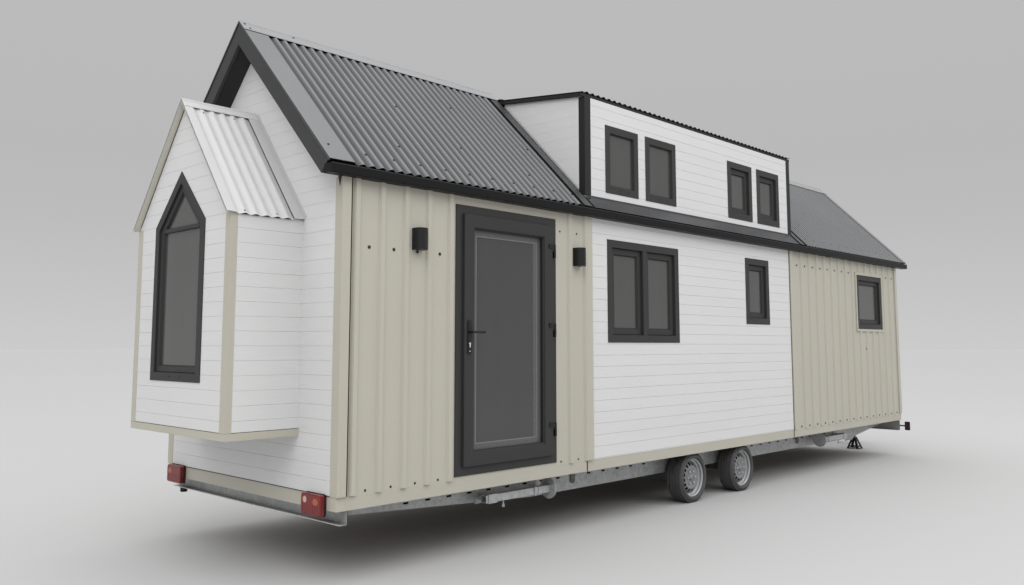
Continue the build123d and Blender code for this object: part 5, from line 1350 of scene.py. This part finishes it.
# ---- windows ----------------------------------------------------------------
# Dark foiled frames, mitred at the corners, standing a little proud of the
# boards.  Opening lights have their own sash, set back; the fixed ones don't.
FRAME_OUT = 0.012
FRAME_FACE = 0.068
SASH_BACK = 0.026
SASH_FACE = 0.055
GLASS_BACK = 0.044
MULLION = 0.064
MULLION_DEEP = 0.0615
frame_foil = finish("dark_frame_foil", tone(52, 52, 52), rough=0.50, shade=0.03, size=2.0, stretch=(2, 2, 0.5),
                    bump=0.10, fine=110.0, gloss=0.25)
# Opaque grey glass whose stretched upright streaks are painted reflections.
pane_tint_and_reflections = finish("grey_glass", tone(76, 76, 75), rough=0.10, shade=0.10, size=1.1, stretch=(3.0, 3.0, 0.12),
                   bump=0.0, fine=6.0, rough_spread=0.02)
seal_rubber = finish("black_seal", tone(30, 30, 30), rough=0.7, shade=0.05, bump=0.1)


def drawn_in(outline, by):
    """The same outline with every edge moved inwards, its corners mitred."""
    inner = []
    count = len(outline)
    for k in range(count):
        before, here, after = (Vector(outline[(k + j) % count]) for j in (-1, 0, 1))
        first = (here - before).normalized()
        second = (after - here).normalized()
        first_in = Vector((-first.y, first.x))
        second_in = Vector((-second.y, second.x))
        inner.append(here + (first_in + second_in) / (1 + first_in.dot(second_in)) * by)
    return inner


def mitred(bm, outline, profile, place, material=0):
    """A moulding run round an outline.  Its closed profile is (how far in, how deep) from the wall's face."""
    rings = []
    for inward, deep in profile:
        rings.append([bm.verts.new(place @ Vector((u, deep, v))) for u, v in drawn_in(outline, inward)])
    for k in range(len(profile)):
        one, other = rings[k], rings[(k + 1) % len(profile)]
        for j in range(len(outline)):
            i = (j + 1) % len(outline)
            face = bm.faces.new((one[j], one[i], other[i], other[j]))
            face.material_index = material


def pane(bm, outline, front, thick, place, material=0):
    """A flat piece drawn face-on, set in its wall."""
    moved(bm, prism(bm, outline, "Y", front, front + thick, material), place)


def flat_profile(start, face, front, back, round_over=0.002):
    """A flat-faced moulding with its front edges rounded over."""
    return [(start, back), (start, front + round_over), (start + round_over, front),
            (start + face - round_over, front), (start + face, front + round_over), (start + face, back)]


def bead_profile(start, front, glass):
    """The sloping glazing bead between a face and the glass."""
    return [(start - 0.001, front + 0.004), (start, front + 0.002), (start + 0.003, front + 0.001),
            (start + 0.010, glass - 0.003), (start + 0.010, glass + 0.004), (start - 0.001, glass + 0.004)]


FRAME_BACK = 0.058
SASH_FOOT = 0.050
PANE_THICK = 0.008


def drain_slot(bm, u, foot, thick, place):
    """A black drain cap low on a frame's face."""
    pane(bm, rectangle(u - 0.014, u + 0.014, foot, foot + 0.008), -FRAME_OUT - 0.0012, thick, place, 1)


def window(frames, glass, box, place, kind, sign=1, drains=()):
    """One window: kind is "fixed", "sash" or "pair"."""
    outline = hole_of(box, sign)
    (u0, v0), (u1, v1) = outline[0], outline[2]
    front = -FRAME_OUT
    mitred(frames, outline, flat_profile(0, FRAME_FACE, front, FRAME_BACK), place)
    lights = [(u0 + FRAME_FACE, u1 - FRAME_FACE)]
    if kind == "pair":
        left, right = (u0 + u1 - MULLION) / 2, (u0 + u1 + MULLION) / 2
        lights = [(u0 + FRAME_FACE, left), (right, u1 - FRAME_FACE)]
        pane(frames, rectangle(left, right, v0 + FRAME_FACE, v1 - FRAME_FACE), front + 0.0005, MULLION_DEEP,
             place)
    for a, b in lights:
        light = rectangle(a, b, v0 + FRAME_FACE, v1 - FRAME_FACE)
        if kind == "fixed":
            glass_at = front + SASH_BACK
            mitred(frames, light, bead_profile(0, front + 0.006, glass_at), place)
            pane(glass, drawn_in(light, 0.006), glass_at, PANE_THICK, place)
        else:
            sash_at, glass_at = front + SASH_BACK, front + GLASS_BACK
            mitred(frames, light, [(-0.001, 0.04), (-0.001, sash_at + 0.006), (0.004, sash_at + 0.006),
                                   (0.004, 0.04)], place, 1)
            mitred(frames, light, flat_profile(0.003, SASH_FACE - 0.003, sash_at, SASH_FOOT), place)
            mitred(frames, light, bead_profile(SASH_FACE, sash_at + 0.002, glass_at), place)
            pane(glass, drawn_in(light, SASH_FACE + 0.004), glass_at, PANE_THICK, place)
    for share in drains:
        drain_slot(frames, u0 + (u1 - u0) * share, v0 + 0.030, 0.0052, place)


def windows_done(name, work, glass):
    """Frames and panes in place of the plain ones: a row is called windows, a single one a window."""
    stem = name[:-1] if name.endswith("s") else name
    put(name + "_frames", settle(work, name), [frame_foil, seal_rubber], "house",
        [stem + ("_frame" if name == stem else "_frames")])
    put(name + "_panes", settle(glass, name + "_panes"), [pane_tint_and_reflections], "house", [stem + "_glass"])


work, glass_work = bmesh.new(), bmesh.new()
for boxes, place, sign in ((near_windows, near_wall, 1), (far_windows, far_wall, -1)):
    for box, kind in zip(boxes, ("pair", "sash", "sash")):
        window(work, glass_work, box, place, kind, sign)
windows_done("side_windows", work, glass_work)

DORMER_DRAINS = (0.42, 0.68)
work, glass_work = bmesh.new(), bmesh.new()
for side, place, sign in ((-1, near_dormer, 1), (1, far_dormer, -1)):
    row = [box for box in dormer_windows if box[0].y * side > 0]
    for box, kind in zip(row, ("fixed", "fixed", "sash", "sash")):
        window(work, glass_work, box, place, kind, sign, DORMER_DRAINS)
windows_done("dormer_windows", work, glass_work)

BAY_FACE = 0.060
BAY_SASH = 0.042
BAY_SASH_BACK = 0.016
BAY_GLASS_BACK = 0.034
BAY_DRAINS = (0.40, 0.62)
work, glass_work = bmesh.new(), bmesh.new()
sash_at, glass_at = BAY_SASH_BACK - FRAME_OUT, BAY_GLASS_BACK - FRAME_OUT
mitred(work, pointed, flat_profile(0, BAY_FACE, -FRAME_OUT, FRAME_BACK), bay_face)
inner_light = drawn_in(pointed, BAY_FACE)
mitred(work, inner_light, flat_profile(0.002, BAY_SASH - 0.002, sash_at, SASH_FOOT), bay_face)
mitred(work, inner_light, bead_profile(BAY_SASH, sash_at + 0.002, glass_at), bay_face)
glazed = drawn_in(pointed, BAY_FACE + BAY_SASH + 0.004)
pane(glass_work, glazed, glass_at, PANE_THICK, bay_face)
transom = rectangle(glazed[0].x + 0.004, glazed[1].x - 0.004, BAY_SHOULDER - 0.046, BAY_SHOULDER - 0.018)
pane(work, transom, sash_at, 0.030, bay_face)
for share in BAY_DRAINS:
    u = pointed[0][0] + (pointed[1][0] - pointed[0][0]) * share
    drain_slot(work, u, frame_low.z + 0.028, 0.005, bay_face)
windows_done("bay_window", work, glass_work)

# A folded beige trim closes the cut ribs round each window in the cladding.
EDGE_TRIM = 0.032
work = bmesh.new()
for box, place, sign in ((near_windows[2], near_wall, 1), (far_windows[2], far_wall, -1)):
    mitred(work, drawn_in(hole_of(box, sign), -EDGE_TRIM),
           [(0, 0.0), (0, -RIB_HEIGHT), (EDGE_TRIM - 0.001, -RIB_HEIGHT), (EDGE_TRIM - 0.001, 0.0)], place)
put("window_edge_trims", settle(work, "window_edge_trims"), [flashing_coat], "house")

# ---- entrance door ----------------------------------------------------------
# A foiled frame and an overlapping leaf, hung on three black hinges, with one
# tall sealed pane in a deep bead.
band_grey_and_reflection = finish("glass_edge_band_and_reflection", tone(86, 86, 86), rough=0.3, shade=0.02, bump=0.04)
band_highlight_line = finish("glass_highlight_line", tone(112, 112, 112), rough=0.35, shade=0.02, bump=0.04)
# The pane's stretched upright streaks are painted reflections.
door_glass = finish("door_glass", tone(66, 66, 66), rough=0.10, shade=0.08, size=1.0, stretch=(3.0, 3.0, 0.12),
                    bump=0.0, fine=6.0, rough_spread=0.02)
JAMB = 0.090
outline = rectangle(door_low.x, door_high.x, door_low.z, door_high.z)
work = bmesh.new()
mitred(work, outline, flat_profile(0, JAMB, -FRAME_OUT, FRAME_BACK), near_wall)
put("door_surround", settle(work, "door_surround"), [frame_foil], "house", ["door_frame"])

leaf_low, leaf_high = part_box("door_leaf")
leaf_front = leaf_low.y - near_y
leaf_back = leaf_high.y - near_y
STILE = 0.108
leaf_outline = rectangle(leaf_low.x, leaf_high.x, leaf_low.z, leaf_high.z)
glass_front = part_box("door_glass")[0].y - near_y
LIP = 0.020
REBATE = 0.030
leaf_profile = [(REBATE, leaf_back), (REBATE, leaf_front + LIP), (0, leaf_front + LIP), (0, leaf_front + 0.003),
                (0.003, leaf_front), (STILE - 0.012, leaf_front), (STILE - 0.009, leaf_front + 0.002),
                (STILE - 0.006, leaf_front + 0.012), (STILE, leaf_front + 0.016), (STILE, leaf_back)]
work = bmesh.new()
mitred(work, leaf_outline, leaf_profile, near_wall)
seal = [(0.004, leaf_front + LIP), (0.004, leaf_front + LIP + 0.0045), (0.012, leaf_front + LIP + 0.0045),
        (0.012, leaf_front + LIP)]
mitred(work, leaf_outline, seal, near_wall, 1)
put("door_leaf_foiled", settle(work, "door_leaf_foiled"), [frame_foil, seal_rubber], "door",
    ["door_leaf"])
# The sealed pane: a grey band all round, partly its edge and partly a painted
# reflection of the bead, a fine paler line inside it as a painted highlight, and a
# wider band on the hinge side that is a painted reflection of the reveal.
BAND = 0.044
LINE = 0.008
HINGE_REFLECTION_BAND = 0.088
work = bmesh.new()
opening = drawn_in(leaf_outline, STILE)
pane(work, opening, glass_front, 0.024, near_wall)
mitred(work, opening, [(-0.001, glass_front - 0.001), (BAND, glass_front - 0.001), (BAND, glass_front + 0.002),
                       (-0.001, glass_front + 0.002)], near_wall, 1)
mitred(work, opening, [(BAND, glass_front - 0.0016), (BAND + LINE, glass_front - 0.0016),
                       (BAND + LINE, glass_front + 0.002), (BAND, glass_front + 0.002)], near_wall, 2)
(left, foot), (right, head) = opening[0], opening[2]
pane(work, rectangle(right - HINGE_REFLECTION_BAND, right - BAND - LINE, foot + BAND + LINE, head - BAND - LINE),
     glass_front - 0.0007, 0.002, near_wall, 1)
put("door_pane", settle(work, "door_pane"), [door_glass, band_grey_and_reflection, band_highlight_line], "door", ["door_glass"])
work = bmesh.new()
mitred(work, opening, [(-0.0012, leaf_front + 0.0150), (0.0015, leaf_front + 0.0165),
                       (0.0015, glass_front - 0.0012), (-0.0012, glass_front - 0.0012)], near_wall)
put("door_gasket", settle(work, "door_gasket"), [seal_rubber], "door")

# The lock's cylinder and the lower fixing screw, both bright.
plate_low, plate_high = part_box("door_handle_plates")
bright_steel = finish("bright_lock_steel", tone(226, 226, 224), rough=0.22, shade=0.03, bump=0.03, metal=0.6)
KEY_RADIUS = 0.0085
SCREW_HEAD = 0.0045
lock_x = (plate_low.x + plate_high.x) / 2
work = bmesh.new()
keyhole = [(lock_x + 0.005, plate_low.z + 0.046)]
for k in range(13):
    angle = math.radians(-60 + 300 * k / 12)
    keyhole.append((lock_x + KEY_RADIUS * math.cos(angle), plate_low.z + 0.0735 + KEY_RADIUS * math.sin(angle)))
keyhole.append((lock_x - 0.005, plate_low.z + 0.046))
prism(work, keyhole, "Y", plate_low.y - 0.004, plate_low.y + 0.001)
prism(work, oval(lock_x, plate_low.z + 0.018, SCREW_HEAD, SCREW_HEAD, 12), "Y", plate_low.y - 0.002,
      plate_low.y + 0.001)
fitted("lock_cylinder", work, bright_steel, edge=0.0006, body="door")

black_metal = finish("black_hardware", tone(26, 26, 27), rough=0.4, shade=0.04, size=6.0, bump=0.08, fine=200.0,
                     gloss=0.35)
dress(black_metal, "door_handle", "door_handle_plates", "door_hinge_barrels", "door_hinge_flaps", "wall_lamps")

# ---- lamps of the trailer ---------------------------------------------------
# Moulded lamps: each tail lamp a black tray under one red lens with a round
# white and an oval amber window; each marker black rubber with small lenses.
lens = dict(rough=0.22, size=26.0, fine=240.0)
lens_red = finish("red_lens", tone(112, 26, 26), shade=0.16, stretch=(1, 1, 0.3), bump=0.25, **lens)
lens_amber = finish("amber_lens", tone(168, 82, 46), shade=0.08, bump=0.2, **lens)
lens_white = finish("white_lens", tone(196, 158, 150), shade=0.06, bump=0.2, **lens)
lens_dark = finish("dark_red_lens", tone(66, 30, 28), rough=0.25, shade=0.2, size=30.0, bump=0.2, gloss=0.6)
lamp_black = finish("lamp_tray", tone(30, 28, 28), rough=0.5, shade=0.05, bump=0.1, gloss=0.3)
lamp_boxes = loose_boxes("trailer_lamps")
tails = [box for box in lamp_boxes if box[0].x < 0]
markers = [box for box in lamp_boxes if box[0].x > 0]
LENS_RIM = 0.004
LENS_RIBS = 8


def rounded(u0, u1, v0, v1, radius, steps=4):
    """A rectangle with rounded corners."""
    outline = []
    for u, v, start in ((u1 - radius, v0 + radius, -90), (u1 - radius, v1 - radius, 0),
                        (u0 + radius, v1 - radius, 90), (u0 + radius, v0 + radius, 180)):
        for k in range(steps + 1):
            angle = math.radians(start + 90 * k / steps)
            outline.append((u + radius * math.cos(angle), v + radius * math.sin(angle)))
    return outline


def lamp_part(name, outlines, x0, x1, material, edge=0.003, stands_for=()):
    """One moulding of the lamps, the same on every lamp that has it."""
    work = bmesh.new()
    for outline in outlines:
        prism(work, outline, "X", x0, x1)
    fitted(name, work, material, stands_for, edge)


tray, red, amber, white, ribs = [], [], [], [], []
for low, high in tails:
    outer, inward = (low.y, 1) if low.y < 0 else (high.y, -1)
    wide = high.y - low.y
    tray.append(rounded(low.y, high.y, low.z, high.z, 0.018))
    red.append(rounded(low.y + LENS_RIM, high.y - LENS_RIM, low.z + LENS_RIM, high.z - LENS_RIM, 0.016))
    amber.append(oval(outer + inward * wide * 0.25, high.z - 0.050, 0.030, 0.022))
    if inward > 0:
        white.append(oval(outer + inward * wide * 0.77, high.z - 0.044, 0.021, 0.021))
    for k in range(1, LENS_RIBS):
        y = low.y + wide * k / LENS_RIBS
        ribs.append(rectangle(y - 0.0015, y + 0.0015, low.z + 0.014, low.z + 0.074))
back_x, face_x = tails[0][1].x, tails[0][0].x
lamp_part("tail_lamp_trays", tray, back_x - 0.012, back_x, lamp_black, stands_for=["trailer_lamps"])
lamp_part("tail_lamp_lenses", red, face_x + 0.0015, back_x - 0.010, lens_red, 0.006)
lamp_part("tail_lamp_amber", amber, face_x, face_x + 0.010, lens_amber, 0.001)
lamp_part("tail_lamp_white", white, face_x, face_x + 0.010, lens_white, 0.001)
lamp_part("tail_lamp_ribs", ribs, face_x + 0.0005, face_x + 0.004, lens_red, 0.0004)
housing, rear_lens, front_lens = bmesh.new(), bmesh.new(), bmesh.new()
for low, high in markers:
    tip, root, out = (low.y, high.y, -1) if low.y < 0 else (high.y, low.y, 1)
    middle = (low.z + high.z) / 2
    body_y = sorted((tip, tip - out * 0.068))
    window_oval = oval(sum(body_y) / 2, middle, 0.022, 0.036)
    prism(housing, rounded(*body_y, low.z, high.z, 0.012), "X", low.x + 0.004, high.x - 0.004)
    prism(housing, rounded(*sorted((root, tip - out * 0.060)), middle - 0.009, middle + 0.009, 0.004), "X",
          low.x + 0.010, high.x - 0.010)
    prism(rear_lens, window_oval, "X", low.x + 0.0005, low.x + 0.006)
    prism(front_lens, window_oval, "X", high.x - 0.006, high.x - 0.0005)
fitted("marker_housings", housing, lamp_black, edge=0.002)
fitted("marker_rear_lenses", rear_lens, lens_dark, edge=0.001)
fitted("marker_front_lenses", front_lens, lens_white, edge=0.001)

# ---- fittings of the running gear -------------------------------------------
# Slots punched along the rails' webs, drawn as black patches of painted shade,
# two brackets in a darker zinc that is painted shade, a black stop under the
# rear beam, the props' collars and hanging pins.
rail_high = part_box("chassis_rails")[1]
SLOT_FIRST, SLOT_STEP, SLOT_COUNT = -4.35, 0.208, 34
WHEEL_BAY = (-1.35, 0.5)
SLOT_HALF_LONG, SLOT_HALF_HIGH = 0.025, 0.007
BRACKETS_AT = (-2.50, 1.75)
# Black patches on the rail webs: painted shade in the slots.
slot_painted_shade = finish("slot_shadow", tone(16, 16, 17), rough=0.9, shade=0.05, bump=0.05, gloss=0.05)
work, bracket_work = bmesh.new(), bmesh.new()
slot_z = rail_high.z - 0.066
for k in range(SLOT_COUNT):
    x = SLOT_FIRST + k * SLOT_STEP
    if WHEEL_BAY[0] < x < WHEEL_BAY[1]:
        continue
    for side in (-1, 1):
        face_y = side * (rail_high.y + 0.0002)
        slot = rounded(x - SLOT_HALF_LONG, x + SLOT_HALF_LONG, slot_z - SLOT_HALF_HIGH, slot_z + SLOT_HALF_HIGH,
                       0.006)
        prism(work, slot, "Y", *sorted((face_y, face_y + side * 0.0008)))
for x in BRACKETS_AT:
    for side in (-1, 1):
        face_y = side * rail_high.y
        bracket = [(x + along, rail_high.z - down) for along, down in (
            (-0.028, 0.030), (0.028, 0.030), (0.028, 0.110), (0.016, 0.128), (-0.016, 0.128), (-0.028, 0.110))]
        prism(bracket_work, bracket, "Y", *sorted((face_y, face_y + side * 0.014)))
put("rail_slots", settle(work, "rail_slots"), [slot_painted_shade], "house")
# The brackets take the darker zinc: painted shade.
fitted("rail_brackets", bracket_work, dull_zinc, edge=0.003)
beam_low, beam_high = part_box("end_beams")
BEAM_WEB_IN = 0.061
BEAM_FOOT = 0.384
STOP_RADIUS = 0.028
work = bmesh.new()
prism(work, oval(beam_low.x + 0.035, 1.06, STOP_RADIUS, STOP_RADIUS, 16), "Z", 0.345, BEAM_FOOT)
fitted("beam_stop", work, lamp_black, edge=0.003)
# Pale zinc strips along the rear beam's foot and its end edges: painted highlight where the light catches them.
work = bmesh.new()
prism(work, rectangle(beam_low.x - 0.0006, beam_low.x + 0.002, beam_low.y, beam_high.y), "Z", BEAM_FOOT,
      BEAM_FOOT + 0.0065)
for side_y, out in ((beam_low.y, 1), (beam_high.y, -1)):
    prism(work, rectangle(beam_low.x + BEAM_WEB_IN - 0.007, beam_low.x + BEAM_WEB_IN,
                          *sorted((side_y, side_y + out * 0.004))), "Z", BEAM_FOOT, trim_low.z)
fitted("beam_edges", work, galvanise("edge_highlight_zinc", tone(206, 208, 208)), edge=0.0005)

# Each prop: two clamping collars, and a hanging pin with its grip.
PIN_AT = 0.215
for corner in CORNERS:
    low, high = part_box("prop_stand_" + corner)
    pad_x, tail_x, way = (high.x, low.x, 1) if corner.endswith("rear") else (low.x, high.x, -1)
    y, z = (low.y + high.y) / 2, (low.z + high.z) / 2
    work = bmesh.new()
    for share, half, half_long in ((0.74, 0.036, 0.012), (0.80, 0.033, 0.005)):
        x = tail_x + (pad_x - tail_x) * share
        prism(work, rounded(y - half, y + half, z - half, z + half, 0.006), "X", x - half_long, x + half_long)
    pin_x = tail_x + way * PIN_AT
    for radius, sides, foot, head in ((0.006, 10, 0.080, 0.027), (0.011, 12, 0.084, 0.060)):
        prism(work, oval(pin_x, y, radius, radius, sides), "Z", z - foot, z - head)
    put("prop_fittings_" + corner, broken(work, "prop_fittings", 0.001), [pale_zinc], "prop_" + corner)

# ---- front stands -----------------------------------------------------------
# Black welded trestles: four splayed angle legs, a tie ring near the foot and
# a zinc plate under the post.
stand_paint = finish("black_stand_paint", tone(36, 36, 37), rough=0.5, bump=0.2, gloss=0.35)
FOOT_HALF, TOP_HALF = 0.086, 0.028
LEG_WIDE, LEG_GAUGE = 0.029, 0.005
RING_WIDE = 0.016
PLATE_THICK = 0.012
legs, plates = bmesh.new(), bmesh.new()


def square(middle, half, radius):
    """A rounded square about a post."""
    return rounded(middle.x - half, middle.x + half, middle.y - half, middle.y + half, radius)


def splayed_leg(foot, head, sx, sy):
    """An angle leg's two flanges, leaning from its foot to its head."""
    for along_x, along_y in ((LEG_WIDE, LEG_GAUGE), (LEG_GAUGE, LEG_WIDE)):
        lower, upper = [[legs.verts.new((spot.x - sx * u, spot.y - sy * v, spot.z))
                         for u, v in ((0, 0), (along_x, 0), (along_x, along_y), (0, along_y))]
                        for spot in (foot, head)]
        legs.faces.new(lower)
        legs.faces.new(list(reversed(upper)))
        for k in range(4):
            n = (k + 1) % 4
            legs.faces.new((lower[n], lower[k], upper[k], upper[n]))


for low, high in loose_boxes("front_stands"):
    middle = (low + high) / 2
    top_z = high.z - 0.085
    for sx in (-1, 1):
        for sy in (-1, 1):
            splayed_leg(Vector((middle.x + sx * FOOT_HALF, middle.y + sy * FOOT_HALF, 0.006)),
                        Vector((middle.x + sx * TOP_HALF, middle.y + sy * TOP_HALF, top_z)), sx, sy)
    for size, z0, z1 in ((FOOT_HALF + 0.006, 0.001, 0.007), (FOOT_HALF - 0.012, 0.028, 0.040)):
        bore = size - RING_WIDE
        for a, b, c, d in ((-size, size, -size, -bore), (-size, size, bore, size), (-size, -bore, -bore, bore),
                           (bore, size, -bore, bore)):
            prism(legs, rectangle(middle.x + a, middle.x + b, middle.y + c, middle.y + d), "Z", z0, z1)
    prism(legs, square(middle, 0.020, 0.019), "Z", top_z - 0.006, high.z - PLATE_THICK)
    prism(plates, square(middle, 0.050, 0.008), "Z", high.z - PLATE_THICK, high.z - 0.0005)
    prism(plates, square(middle, 0.034, 0.008), "Z", top_z - 0.002, top_z + 0.006)
fitted("front_trestles", legs, stand_paint, ["front_stands"], 0.0008)
fitted("front_stand_plates", plates, pale_zinc, edge=0.0008)
